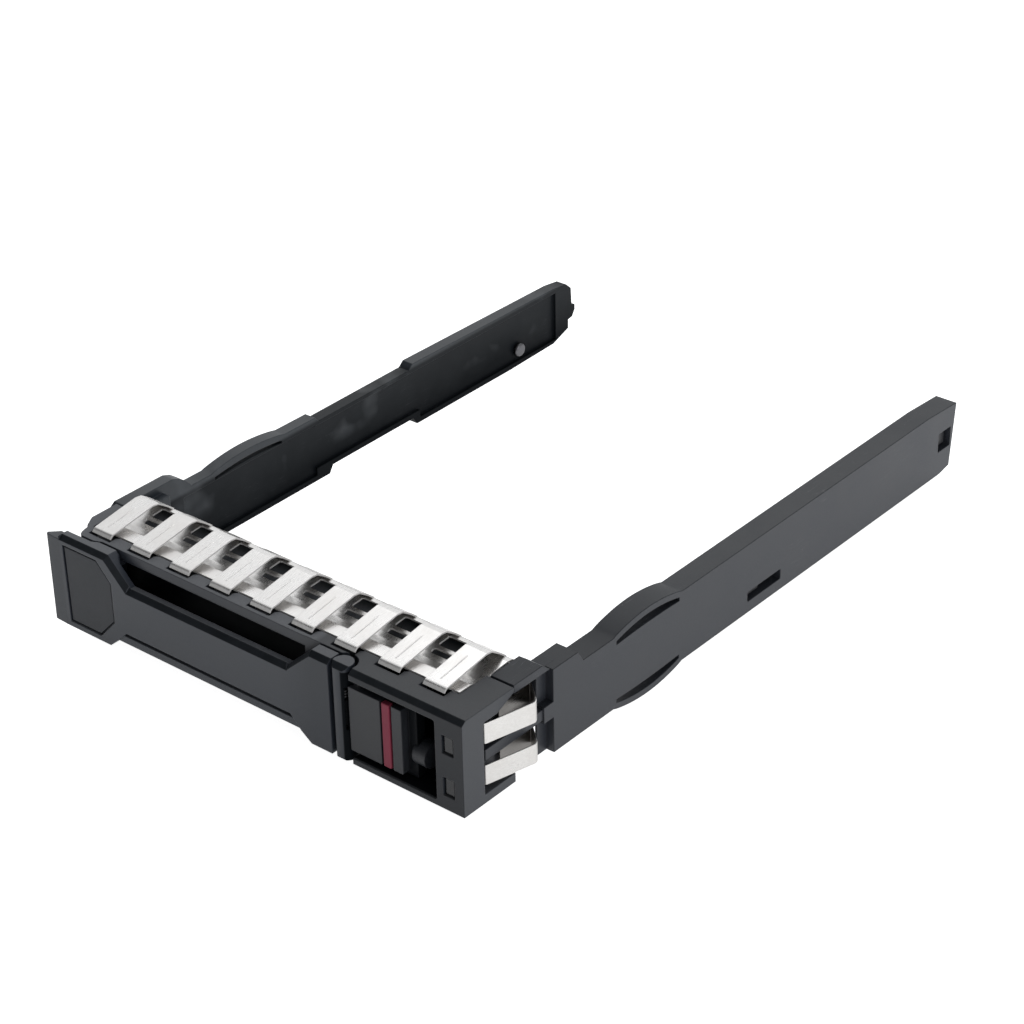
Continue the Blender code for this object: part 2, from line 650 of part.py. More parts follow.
# ---- light pipes -------------------------------------------------------------
def build_light_pipe(name, lens_z, bar_z):
    """A lens in the front window, a riser behind it and a bar along the rail."""
    pipe = block(LENS_X, (0.25, 3.3), lens_z, name)
    riser_z = (min(lens_z[0], bar_z[0]) + 0.01, max(lens_z[1], bar_z[1]) - 0.01)
    join(pipe, block(PIPE_X, (2.5, 3.8), riser_z))
    join(pipe, block((PIPE_X[0] + 0.01, PIPE_X[1] - 0.01), (3.5, 113.0), bar_z))
    finish(pipe, "dark_lens")


def build_rear_clip():
    clip = block((35.35, 36.55), (113.35, 116.4), (3.8, 10.0), "light_pipe_rear_clip")
    join(clip, block((36.4, 37.9), (113.7, 116.3), (4.5, 7.0)))
    finish(clip, "black_plastic")


def build_mid_clip():
    clip = block((36.55, 36.9), (62.5, 71.5), (1.7, 8.1), "light_pipe_mid_clip")
    join(
        clip,
        block((36.7, 38.0), (63.3, 66.6), (2.2, 3.15)),
        block((35.3, 36.7), (63.4, 70.6), (6.0, 8.1)),
    )
    finish(clip, "black_plastic")


# ---- build -------------------------------------------------------------------
for old in list(bpy.data.objects):
    bpy.data.objects.remove(old)

build_bezel()
build_right_rail()
build_left_rail()
build_lever()
build_lever_label()
build_hinge_pin()
build_lever_spring()
build_latch()
build_latch_stripe()
build_latch_spring()
build_top_sheet()
build_side_sheet()
build_back_plate()
for pipe_name, lens_range, bar_range, _ in LIGHTS:
    build_light_pipe(pipe_name, lens_range, bar_range)
build_rear_clip()
build_mid_clip()
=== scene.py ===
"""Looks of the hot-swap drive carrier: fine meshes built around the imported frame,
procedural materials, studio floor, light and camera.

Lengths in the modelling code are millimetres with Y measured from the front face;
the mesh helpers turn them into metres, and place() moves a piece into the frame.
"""
import math

import bmesh
import bpy
from mathutils import Matrix, Vector


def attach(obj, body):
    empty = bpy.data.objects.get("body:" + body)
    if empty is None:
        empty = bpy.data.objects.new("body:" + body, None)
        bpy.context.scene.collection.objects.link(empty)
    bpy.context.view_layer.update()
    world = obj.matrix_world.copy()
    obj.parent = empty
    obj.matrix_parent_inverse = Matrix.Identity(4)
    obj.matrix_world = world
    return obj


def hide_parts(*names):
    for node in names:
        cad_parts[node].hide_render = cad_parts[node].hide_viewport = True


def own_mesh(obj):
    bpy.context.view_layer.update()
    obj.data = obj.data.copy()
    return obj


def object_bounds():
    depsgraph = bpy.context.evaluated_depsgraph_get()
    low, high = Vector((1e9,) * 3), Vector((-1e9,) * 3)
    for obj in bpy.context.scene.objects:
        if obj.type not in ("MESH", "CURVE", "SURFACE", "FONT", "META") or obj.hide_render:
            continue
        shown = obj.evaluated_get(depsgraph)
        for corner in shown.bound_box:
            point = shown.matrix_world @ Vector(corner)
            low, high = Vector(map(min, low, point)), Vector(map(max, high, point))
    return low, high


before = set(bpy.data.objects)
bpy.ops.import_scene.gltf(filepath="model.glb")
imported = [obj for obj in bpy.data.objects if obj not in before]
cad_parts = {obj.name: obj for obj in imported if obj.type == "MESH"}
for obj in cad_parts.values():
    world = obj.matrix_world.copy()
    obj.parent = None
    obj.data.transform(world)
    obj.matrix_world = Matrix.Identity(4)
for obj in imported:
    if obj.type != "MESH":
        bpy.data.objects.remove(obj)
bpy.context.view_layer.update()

MM = 0.001
ORIGIN_Y = 8.0

# ---- dimensions shared with the frame ---------------------------------------
BEZEL_RIGHT, BEZEL_LEFT, BEZEL_H, BEZEL_REAR = 39.0, -36.7, 14.9, 16.4
FRONT_CHAMFER_Y, FRONT_CHAMFER_Z = 0.8, 0.6
RAIL_OUT, RAIL_WEB, RAIL_IN, LEFT_IN = 38.8, 1.6, 35.1, 36.7
RAIL_H, LEFT_H = 11.5, 11.2
RAIL_REAR, RAIL_FRONT = 118.0, 16.7
SHOULDER_H, SHOULDER_REAR, FLANGE = 13.3, 24.4, 1.3
LEAF_Y0, LEAF_Y1, LEAF_RISE = 31.6, 47.2, 1.25
LEFT_LEAF_Y0, LEFT_LEAF_Y1, LEFT_LEAF_RISE = 30.4, 46.4, 0.95
PIVOT_X, PIVOT_Y, BARREL_R = 17.33, 1.3, 1.53
LEVER_LEFT, LEVER_T, BAR_TOP, BAR_BOTTOM = -39.4, 2.4, 10.85, 1.3
PIN_R, LUG_R, LUG_Z0, LUG_Z1 = 0.5, 0.95, 5.2, 9.3
LATCH_X0, LATCH_X1, LATCH_Z0, LATCH_Z1, LATCH_FACE = 18.9, 28.2, 1.95, 12.1, 0.3
STRIPE_X0, STRIPE_X1 = 24.8, 26.15
WINDOW_X1, WINDOW_Z0, WINDOW_Z1 = 34.3, 0.9, 13.4
POST_Y, POST_Z, POST_R = 2.9, 5.1, 1.9
SPRING_Y, SPRING_Z = 5.0, 11.3
FINGERS, FINGER_X0, FINGER_PITCH, FINGER_W = 9, -31.6, 7.83, 3.7
PIN_Z, PIN_FRONT_Y, PIN_REAR_Y = 2.8, 26.2, 102.8


# ---- mesh helpers -------------------------------------------------------------
def add_mesh(name, bm):
    bmesh.ops.recalc_face_normals(bm, faces=bm.faces)
    mesh = bpy.data.meshes.new(name)
    bm.to_mesh(mesh)
    bm.free()
    obj = bpy.data.objects.new(name, mesh)
    bpy.context.scene.collection.objects.link(obj)
    return obj


def at(axis, a, b, c):
    if axis == "x":
        return Vector((c, a, b)) * MM
    if axis == "y":
        return Vector((a, c, b)) * MM
    return Vector((a, b, c)) * MM


def prism(name, outline, axis, low, high):
    bm = bmesh.new()
    face = bm.faces.new([bm.verts.new(at(axis, a, b, low)) for a, b in outline])
    grown = bmesh.ops.extrude_face_region(bm, geom=[face])
    moved = [v for v in grown["geom"] if isinstance(v, bmesh.types.BMVert)]
    bmesh.ops.translate(bm, verts=moved, vec=at(axis, 0, 0, high - low))
    return add_mesh(name, bm)


def block(name, x, y, z):
    return prism(name, [(x[0], y[0]), (x[1], y[0]), (x[1], y[1]), (x[0], y[1])], "z", z[0], z[1])


def rounded(x, y, r, steps=5):
    """Rectangle outline with rounded corners."""
    points = []
    for cx, cy, start in ((x[1] - r, y[1] - r, 0), (x[0] + r, y[1] - r, 90), (x[0] + r, y[0] + r, 180), (x[1] - r, y[0] + r, 270)):
        points += circle(cx, cy, r, steps, start, 90)
    return points


def circle(cx, cy, r, steps=24, start=0.0, sweep=360.0):
    count = steps if abs(sweep) >= 360 else steps + 1
    return [
        (
            cx + r * math.cos(math.radians(start + sweep * i / steps)),
            cy + r * math.sin(math.radians(start + sweep * i / steps)),
        )
        for i in range(count)
    ]


def rod(name, axis, centre, r, low, high, steps=48):
    return prism(name, circle(centre[0], centre[1], r, steps), axis, low, high)


def combine(obj, others, operation):
    for other in others:
        mod = obj.modifiers.new("step", "BOOLEAN")
        mod.operation = operation
        mod.solver = "EXACT"
        mod.object = other
        bpy.context.view_layer.update()
        graph = bpy.context.evaluated_depsgraph_get()
        made = bpy.data.meshes.new_from_object(obj.evaluated_get(graph))
        obj.modifiers.remove(mod)
        obj.data = made
        bpy.data.objects.remove(other)
    return obj


def cut(obj, *others):
    return combine(obj, others, "DIFFERENCE")


def join(obj, *others):
    return combine(obj, others, "UNION")


def fillet_path(points, radius, steps=6):
    """An open path whose corners are replaced by arcs."""
    out = [points[0]]
    for back, here, ahead in zip(points, points[1:], points[2:]):
        p, a, b = Vector(here), Vector(back), Vector(ahead)
        u, v = (a - p), (b - p)
        lu, lv = u.length, v.length
        u.normalize()
        v.normalize()
        turn = math.acos(max(-1.0, min(1.0, u.dot(v))))
        if turn > math.radians(177):
            out.append(here)
            continue
        reach = min(radius / math.tan(turn / 2), lu * 0.45, lv * 0.45)
        r = reach * math.tan(turn / 2)
        centre = p + (u + v).normalized() * (r / math.sin(turn / 2))
        start, end = p + u * reach - centre, p + v * reach - centre
        a0 = math.atan2(start.y, start.x)
        a1 = math.atan2(end.y, end.x)
        while a1 - a0 > math.pi:
            a1 -= 2 * math.pi
        while a1 - a0 < -math.pi:
            a1 += 2 * math.pi
        for i in range(steps + 1):
            t = a0 + (a1 - a0) * i / steps
            out.append((centre.x + r * math.cos(t), centre.y + r * math.sin(t)))
    out.append(points[-1])
    return out


def offset_path(path, thickness):
    left, right = [], []
    for i, (x, y) in enumerate(path):
        ahead = path[min(i + 1, len(path) - 1)]
        back = path[max(i - 1, 0)]
        if i in (0, len(path) - 1):
            dx, dy = ahead[0] - back[0], ahead[1] - back[1]
            n = math.hypot(dx, dy)
            nx, ny, grow = -dy / n, dx / n, 1.0
        else:
            ax, ay = x - back[0], y - back[1]
            bx, by = ahead[0] - x, ahead[1] - y
            an, bn = math.hypot(ax, ay), math.hypot(bx, by)
            nx, ny = -(ay / an + by / bn), ax / an + bx / bn
            n = math.hypot(nx, ny)
            nx, ny = nx / n, ny / n
            grow = 1 / max(0.5, nx * (-ay / an) + ny * (ax / an))
        half = thickness / 2 * grow
        left.append((x + nx * half, y + ny * half))
        right.append((x - nx * half, y - ny * half))
    return left + right[::-1]


def tube(name, points, r, sides=16):
    """A round wire along a list of points, with domed ends."""
    bm = bmesh.new()
    rings = []
    side = None
    first, last = Vector(points[0]), Vector(points[-1])
    start = (Vector(points[1]) - first).normalized()
    end = (last - Vector(points[-2])).normalized()
    path = [(first - start * r * 0.35, 0.55), (first, 1.0)]
    path += [(Vector(p), 1.0) for p in points[1:-1]]
    path += [(last, 1.0), (last + end * r * 0.35, 0.55)]
    for i, (here, share) in enumerate(path):
        ahead = path[min(i + 1, len(path) - 1)][0]
        back = path[max(i - 1, 0)][0]
        along = (ahead - back).normalized()
        if side is None:
            side = along.orthogonal().normalized()
        side = (side - along * side.dot(along)).normalized()
        up = along.cross(side)
        ring = []
        for k in range(sides):
            turn = 2 * math.pi * k / sides
            ring.append(bm.verts.new((here + (side * math.cos(turn) + up * math.sin(turn)) * r * share) * MM))
        rings.append(ring)
    for a, b in zip(rings, rings[1:]):
        for k in range(sides):
            bm.faces.new((a[k], a[(k + 1) % sides], b[(k + 1) % sides], b[k]))
    bm.faces.new(rings[0])
    bm.faces.new(rings[-1])
    return add_mesh(name, bm)


def turned(name, profile, centre, side, steps=40):
    """A solid turned about the X axis from (x, radius) pairs."""
    bm = bmesh.new()
    rings = []
    for x, r in profile:
        rings.append([
            bm.verts.new(Vector((side * x, centre[0] + r * math.cos(2 * math.pi * k / steps), centre[1] + r * math.sin(2 * math.pi * k / steps))) * MM)
            for k in range(steps)
        ])
    for a, b in zip(rings, rings[1:]):
        for k in range(steps):
            bm.faces.new((a[k], a[(k + 1) % steps], b[(k + 1) % steps], b[k]))
    bm.faces.new(rings[0])
    bm.faces.new(rings[-1])
    return add_mesh(name, bm)


def tidy(obj, merge=0.004):
    """Weld the slivers that Booleans leave and dissolve flat edges."""
    bm = bmesh.new()
    bm.from_mesh(obj.data)
    bmesh.ops.remove_doubles(bm, verts=bm.verts, dist=merge * MM)
    bmesh.ops.dissolve_limit(bm, angle_limit=math.radians(0.6), use_dissolve_boundaries=False, verts=bm.verts, edges=bm.edges, delimit=set())
    bmesh.ops.dissolve_degenerate(bm, dist=merge * MM, edges=bm.edges)
    bmesh.ops.recalc_face_normals(bm, faces=bm.faces)
    bm.to_mesh(obj.data)
    bm.free()


def soften(obj, width, segments=2, angle=32.0, clamp=True):
    """Round every sharp edge of a piece and keep its flats flat."""
    tidy(obj)
    mod = obj.modifiers.new("edge", "BEVEL")
    mod.width = width * MM
    mod.segments = segments
    mod.limit_method = "ANGLE"
    mod.angle_limit = math.radians(angle)
    mod.use_clamp_overlap = clamp
    mod.miter_outer = "MITER_ARC"
    mod.harden_normals = True
    obj.data.shade_smooth()
    return obj


def place(obj, body, node, mat, smooth=None):
    """Move the piece into the frame, give it its material and tie it to its body."""
    obj.data.transform(Matrix.Translation(Vector((0, -ORIGIN_Y, 0)) * MM))
    obj.data.materials.clear()
    obj.data.materials.append(mat)
    for polygon in obj.data.polygons:
        polygon.material_index = 0
    if smooth is not None:
        obj.data.shade_smooth()
        obj.data.set_sharp_from_angle(angle=math.radians(smooth))
    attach(obj, body)
    if node:
        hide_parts(node)
    return obj


# ---- materials ----------------------------------------------------------------
class Nodes:
    """Short names for building a node tree."""

    def __init__(self, name):
        self.mat = bpy.data.materials.new(name)
        self.mat.use_nodes = True
        self.tree = self.mat.node_tree
        self.shader = self.tree.nodes["Principled BSDF"]
        self.coord = self.tree.nodes.new("ShaderNodeTexCoord").outputs["Object"]

    def new(self, kind, **settings):
        node = self.tree.nodes.new(kind)
        for key, value in settings.items():
            setattr(node, key, value)
        return node

    def link(self, source, target):
        self.tree.links.new(source, target)

    def feed(self, node, key, value):
        target = node.inputs[key]
        if isinstance(value, bpy.types.NodeSocket):
            self.link(value, target)
        else:
            target.default_value = value

    def coord_x(self):
        split = self.new("ShaderNodeSeparateXYZ")
        self.link(self.coord, split.inputs["Vector"])
        return split.outputs["X"]

    def scaled(self, scale):
        node = self.new("ShaderNodeMapping")
        self.link(self.coord, node.inputs["Vector"])
        node.inputs["Scale"].default_value = scale if isinstance(scale, tuple) else (scale,) * 3
        return node.outputs["Vector"]

    def noise(self, scale, detail=2.0, rough=0.5, vector=None, distortion=0.0):
        node = self.new("ShaderNodeTexNoise")
        self.link(vector or self.scaled(scale), node.inputs["Vector"])
        node.inputs["Scale"].default_value = 1.0
        node.inputs["Detail"].default_value = detail
        node.inputs["Roughness"].default_value = rough
        node.inputs["Distortion"].default_value = distortion
        return node.outputs["Fac"]

    def math(self, operation, a, b=0.0, clamp=False):
        node = self.new("ShaderNodeMath", operation=operation, use_clamp=clamp)
        self.feed(node, 0, a)
        self.feed(node, 1, b)
        return node.outputs[0]

    def ramp(self, value, low, high, out_low=0.0, out_high=1.0):
        node = self.new("ShaderNodeMapRange")
        node.clamp = True
        self.feed(node, "Value", value)
        node.inputs["From Min"].default_value = low
        node.inputs["From Max"].default_value = high
        node.inputs["To Min"].default_value = out_low
        node.inputs["To Max"].default_value = out_high
        return node.outputs["Result"]

    def mix(self, share, a, b):
        node = self.new("ShaderNodeMix", data_type="RGBA")
        self.feed(node, 0, share)
        self.feed(node, 6, a)
        self.feed(node, 7, b)
        return node.outputs[2]

    def bump(self, height, strength, distance, normal=None):
        node = self.new("ShaderNodeBump")
        self.link(height, node.inputs["Height"])
        node.inputs["Strength"].default_value = strength
        node.inputs["Distance"].default_value = distance
        if normal is not None:
            self.link(normal, node.inputs["Normal"])
        return node.outputs["Normal"]

    def edges(self, radius):
        """1 along convex and concave edges, 0 on flats."""
        bevel = self.new("ShaderNodeBevel", samples=6)
        bevel.inputs["Radius"].default_value = radius
        geometry = self.new("ShaderNodeNewGeometry")
        dot = self.new("ShaderNodeVectorMath", operation="DOT_PRODUCT")
        self.link(bevel.outputs["Normal"], dot.inputs[0])
        self.link(geometry.outputs["Normal"], dot.inputs[1])
        return self.ramp(dot.outputs["Value"], 0.995, 0.86), bevel.outputs["Normal"]


def plastic(name, base, rough, worn=0.25, scuff=0.0, grain=0.22, tint=0.12, spec=0.5, chamfer=0.0, painted_shade=None, front=1.0, top=None, rim=0.0):
    """Moulded plastic: fine eroded grain, uneven gloss, rubbed edges, a few scuffs and specks.

    chamfer paints shade on the polished bevel that runs along the top front edge; the
    function given for painted shade returns a factor that darkens the colour from the place
    on the piece; front is a factor of painted shade for the faces that look straight to the
    front; top holds factors for painted light on the faces that look up, for their colour and
    for the gloss of these rougher faces; and rim darkens the edges.
    """
    n = Nodes(name)
    edge_mask, soft_normal = n.edges(0.00022)
    cloud = n.noise(95.0, 4.0, 0.6)
    fine = n.noise(1.0 / (grain * MM), 3.0, 0.6)
    finer = n.noise(1.0 / (grain * 0.35 * MM), 2.0, 0.5)
    base = tuple(base) + (1.0,)
    light = tuple(min(1.0, c * (1 + tint) + 0.002) for c in base[:3]) + (1.0,)
    dark = tuple(c * (1 - tint) for c in base[:3]) + (1.0,)
    colour = n.mix(n.ramp(cloud, 0.3, 0.7), dark, light)
    colour = n.mix(n.ramp(fine, 0.25, 0.8, 0.0, 0.35), colour, light)
    patchy = n.noise(420.0, 3.0, 0.7)
    rubbed = n.math("MULTIPLY", edge_mask, n.ramp(patchy, 0.38, 0.66, 0.25, 1.0))
    rubbed = n.math("MULTIPLY", rubbed, worn)
    pale = tuple(min(1.0, c * 3.2 + 0.02) for c in base[:3]) + (1.0,)
    colour = n.mix(rubbed, colour, pale)
    level = spec
    factor = painted_shade(n) if painted_shade is not None else None
    facing = n.new("ShaderNodeSeparateXYZ")
    n.link(n.new("ShaderNodeNewGeometry").outputs["Normal"], facing.inputs["Vector"])
    # painted light: faces that look up are lightened towards grey, more so beyond a given x
    if top is not None:
        upward = n.ramp(facing.outputs["Z"], 0.85, 0.98)
        grey = sum(base[:3]) / 3
        painted_top_light = tuple((0.7 * grey + 0.3 * c) * top[0] for c in base[:3]) + (1.0,)
        if len(top) > 2:
            brighter_painted_top_light = tuple((0.7 * grey + 0.3 * c) * top[2] for c in base[:3]) + (1.0,)
            painted_top_light = n.mix(n.ramp(n.coord_x(), top[3], top[3] - 0.001), painted_top_light, brighter_painted_top_light)
        painted_top_light = n.mix(n.ramp(fine, 0.25, 0.8, 0.0, 0.25), painted_top_light, n.mix(n.ramp(cloud, 0.3, 0.7), dark, light))
        colour = n.mix(upward, colour, painted_top_light)
    # painted shade: darken the faces that look straight to the front
    if front < 1.0:
        turned = n.math("MULTIPLY", n.ramp(facing.outputs["Y"], -0.90, -0.98), n.ramp(place_on_piece(n)[1], -0.0072, -0.0075))
        turned = n.math("SUBTRACT", 1.0, n.math("MULTIPLY", turned, 1.0 - front))
        factor = turned if factor is None else n.math("MULTIPLY", factor, turned)
    if rim:
        line = n.math("SUBTRACT", 1.0, n.math("MULTIPLY", edge_mask, rim))
        factor = line if factor is None else n.math("MULTIPLY", factor, line)
    # painted shade: mix the colour towards near black and lower the gloss by the factor
    if factor is not None:
        colour = n.mix(factor, (0.0035, 0.0045, 0.0055, 1.0), colour)
        level = n.math("MULTIPLY", factor, spec)
    if top is not None:
        level = n.math("MULTIPLY", level, n.ramp(facing.outputs["Z"], 0.85, 0.98, 1.0, top[1]))
    # painted shade on the bevel along the top front edge, with less gloss there
    if chamfer:
        normal = n.new("ShaderNodeNewGeometry").outputs["Normal"]
        split = n.new("ShaderNodeSeparateXYZ")
        n.link(normal, split.inputs["Vector"])
        chamfer_shade = n.math("MULTIPLY", n.ramp(split.outputs["Y"], -0.22, -0.45), n.ramp(split.outputs["Y"], -0.93, -0.78))
        chamfer_shade = n.math("MULTIPLY", chamfer_shade, n.ramp(split.outputs["Z"], 0.30, 0.45))
        chamfer_shade = n.math("MULTIPLY", chamfer_shade, n.ramp(n.noise(260.0, 3.0, 0.6), 0.25, 0.6, chamfer * 0.8, chamfer))
        colour = n.mix(chamfer_shade, colour, (0.006, 0.008, 0.010, 1.0))
        level = n.math("MULTIPLY", level, n.math("SUBTRACT", 1.0, n.math("MULTIPLY", chamfer_shade, 0.55)))
    roughness = n.ramp(cloud, 0.25, 0.75, rough - 0.06, rough + 0.07)
    roughness = n.math("ADD", roughness, n.ramp(fine, 0.2, 0.8, -0.04, 0.05))
    height = n.math("ADD", n.math("MULTIPLY", fine, 0.7), n.math("MULTIPLY", finer, 0.3))
    if scuff:
        along = n.noise(1.0, 3.0, 0.6, vector=n.scaled((900.0, 55.0, 1700.0)), distortion=0.4)
        line = n.ramp(n.math("ABSOLUTE", n.math("SUBTRACT", along, 0.5)), 0.006, 0.0)
        where = n.ramp(n.noise(120.0, 3.0, 0.6), 0.53, 0.66)
        line = n.math("MULTIPLY", n.math("MULTIPLY", line, where), scuff)
        colour = n.mix(line, colour, (0.30, 0.31, 0.33, 1.0))
        roughness = n.math("ADD", roughness, n.math("MULTIPLY", line, 0.15))
    spots = n.new("ShaderNodeTexVoronoi", feature="F1")
    n.link(n.scaled(310.0), spots.inputs["Vector"])
    spots.inputs["Scale"].default_value = 1.0
    spots.inputs["Randomness"].default_value = 1.0
    picked = n.ramp(spots.outputs["Color"], 0.90, 0.93)
    dot = n.ramp(spots.outputs["Distance"], 0.045, 0.02)
    speck = n.math("MULTIPLY", n.math("MULTIPLY", dot, picked), 0.35)
    colour = n.mix(speck, colour, (0.34, 0.34, 0.35, 1.0))
    n.link(colour, n.shader.inputs["Base Color"])
    n.link(roughness, n.shader.inputs["Roughness"])
    n.feed(n.shader, "Specular IOR Level", level)
    n.link(n.bump(height, 0.22, 0.00002, soft_normal), n.shader.inputs["Normal"])
    return n.mat


def place_on_piece(n):
    split = n.new("ShaderNodeSeparateXYZ")
    n.link(n.coord, split.inputs["Vector"])
    return split.outputs["X"], split.outputs["Y"], split.outputs["Z"]


def within(n, value, low, high, soft=0.0001):
    """1 between low and high, 0 outside."""
    return n.math("MULTIPLY", n.ramp(value, low - soft, low), n.ramp(value, high + soft, high))


def left_rail_painted_shade(n):
    """Painted reflection and shade on the inside of the left rail: near black low down and lighter upwards, with grey
    patches and a painted highlight along the top edge.
    """
    x, y, z = place_on_piece(n)
    wander = n.ramp(n.noise(60.0, 4.0, 0.62), 0.25, 0.75, -0.0022, 0.0022)
    body = n.ramp(n.math("ADD", z, wander), 0.0020, 0.0092, 0.07, 0.24)
    patch = n.ramp(n.noise(75.0, 3.0, 0.55), 0.57, 0.66, 0.0, 0.38)
    patch = n.math("MULTIPLY", patch, n.ramp(z, 0.0040, 0.0060))
    top = n.ramp(z, 0.0102, 0.0108, 0.0, 0.6)
    return n.math("MINIMUM", n.math("ADD", n.math("ADD", body, patch), top), 1.0)


def right_rail_painted_shade(n):
    """Painted shade: the right rail is darker towards the bezel and on the faces of its upper flange that look up."""
    x, y, z = place_on_piece(n)
    facing = n.new("ShaderNodeSeparateXYZ")
    n.link(n.new("ShaderNodeNewGeometry").outputs["Normal"], facing.inputs["Vector"])
    flange = n.math("MULTIPLY", n.ramp(facing.outputs["Z"], 0.80, 0.98), n.ramp(y, -0.0080, 0.0100, 0.24, 0.36))
    return n.math("MULTIPLY", n.ramp(y, 0.005, 0.100, 0.80, 1.0), n.math("SUBTRACT", 1.0, flange))


def lever_painted_shade(n):
    """Painted shade: the lip and the hinge end are a shade darker, and the far side of the barrel, by the slit next to
    the latch, is painted black.
    """
    x, y, z = place_on_piece(n)
    factor = n.math("MULTIPLY", n.ramp(x, -0.0368, -0.0364, 0.80, 1.0), n.ramp(x, 0.0060, 0.0125, 1.0, 0.82))
    barrel_gap_shade = n.math("MULTIPLY", n.ramp(x, 0.01770, 0.01795), n.ramp(z, 0.0142, 0.0140))
    return n.math("MULTIPLY", factor, n.math("SUBTRACT", 1.0, n.math("MULTIPLY", barrel_gap_shade, 0.95)))


def bezel_painted_shade(n):
    """Painted shade: the space for the fingers behind the bar and the latch chamber are painted near black."""
    x, y, z = place_on_piece(n)
    fingers = n.math("MULTIPLY", within(n, x, -0.0358, 0.0120), within(n, z, -0.0010, 0.0118))
    fingers = n.math("MULTIPLY", fingers, within(n, y, -0.0070, 0.0018))
    chamber = n.math("MULTIPLY", within(n, x, 0.0175, 0.03405), within(n, z, 0.0003, 0.0133))
    chamber = n.math("MULTIPLY", chamber, within(n, y, -0.0076, -0.0010, 0.0002))
    inside = n.math("MAXIMUM", fingers, chamber)
    return n.math("SUBTRACT", 1.0, n.math("MULTIPLY", inside, 0.93))


def latch_painted_shade(n):
    """Painted shade darkens the deeper parts of the latch, so only the tile and the end of the post catch light."""
    x, y, z = place_on_piece(n)
    deep = n.math("MULTIPLY", n.ramp(y, -0.0066, -0.0062), n.ramp(x, 0.03000, 0.02985))
    return n.math("SUBTRACT", 1.0, n.math("MULTIPLY", deep, 0.88))


def side_sheet_painted_shade(n):
    """Painted shade: the base strip of the side sheet is painted dark and its return legs get a painted brown shade."""
    x, y, z = place_on_piece(n)
    base = n.ramp(x, 0.0372, 0.0370)
    leg = n.math("MULTIPLY", n.ramp(y, 0.0053, 0.0058), n.ramp(x, 0.0400, 0.0397))
    return n.math("MAXIMUM", n.math("MULTIPLY", base, 0.95), n.math("MULTIPLY", leg, 0.72))


def steel(name, base, rough, brush=(1.0, 30.0, 1.0), strength=0.12, spots=0.3, painted_brown_shade=None, cut_ends=False):
    """Rolled or drawn steel: fine lines along one way, smudges, brighter cut edges and a painted highlight along every
    edge.

    the function given for painted shade returns how far the colour goes to a painted dark
    brown shade at a place, and cut_ends gives the sheared ends of the strip a matt, bright surface.
    """
    n = Nodes(name)
    edge_mask, soft_normal = n.edges(0.00010)
    scale = tuple(9000.0 / b for b in brush)
    lines = n.noise(1.0, 4.0, 0.65, vector=n.scaled(scale))
    smudge = n.noise(160.0, 5.0, 0.62)
    base4 = tuple(base) + (1.0,)
    dim = tuple(c * 0.84 for c in base) + (1.0,)
    bright = tuple(min(1.0, c * 1.12) for c in base) + (1.0,)
    colour = n.mix(n.ramp(lines, 0.3, 0.7), dim, base4)
    colour = n.mix(n.math("MULTIPLY", n.ramp(smudge, 0.42, 0.75), spots), colour, (base[0] * 0.72, base[1] * 0.69, base[2] * 0.66, 1.0))
    # painted highlight: every edge is made lighter
    colour = n.mix(n.math("MULTIPLY", edge_mask, 0.6), colour, bright)
    roughness = n.ramp(smudge, 0.3, 0.8, rough - 0.05, rough + 0.10)
    roughness = n.math("ADD", roughness, n.ramp(lines, 0.3, 0.7, -0.03, 0.05))
    # painted shade, mixed towards dark brown
    if painted_brown_shade is not None:
        colour = n.mix(painted_brown_shade(n), colour, (0.030, 0.024, 0.018, 1.0))
    metallic = 1.0
    if cut_ends:
        facing = n.new("ShaderNodeSeparateXYZ")
        n.link(n.new("ShaderNodeNewGeometry").outputs["Normal"], facing.inputs["Vector"])
        sheared = n.ramp(facing.outputs["Y"], -0.55, -0.75)
        sheared = n.math("MAXIMUM", sheared, n.ramp(n.math("ABSOLUTE", facing.outputs["X"]), 0.90, 0.98))
        metallic = n.math("SUBTRACT", 1.0, sheared)
        roughness = n.math("MAXIMUM", roughness, n.math("MULTIPLY", sheared, 0.6))
    n.link(colour, n.shader.inputs["Base Color"])
    n.link(roughness, n.shader.inputs["Roughness"])
    n.feed(n.shader, "Metallic", metallic)
    n.link(n.bump(lines, strength, 0.00001, soft_normal), n.shader.inputs["Normal"])
    return n.mat


def lens(name, base):
    """Smoked light guide: glossy skin over a body with faint clouding."""
    n = Nodes(name)
    edge_mask, soft_normal = n.edges(0.00018)
    cloud = n.noise(700.0, 3.0, 0.6)
    fine = n.noise(5200.0, 2.0, 0.5)
    base4 = tuple(base) + (1.0,)
    deep = tuple(c * 0.72 for c in base) + (1.0,)
    colour = n.mix(n.ramp(cloud, 0.35, 0.7), deep, base4)
    colour = n.mix(n.math("MULTIPLY", edge_mask, 0.25), colour, (0.2, 0.21, 0.22, 1.0))
    n.link(colour, n.shader.inputs["Base Color"])
    n.link(n.ramp(cloud, 0.2, 0.8, 0.16, 0.30), n.shader.inputs["Roughness"])
    n.shader.inputs["IOR"].default_value = 1.46
    n.shader.inputs["Coat Weight"].default_value = 0.06
    n.shader.inputs["Coat Roughness"].default_value = 0.08
    n.link(n.bump(fine, 0.08, 0.00001, soft_normal), n.shader.inputs["Normal"])
    return n.mat


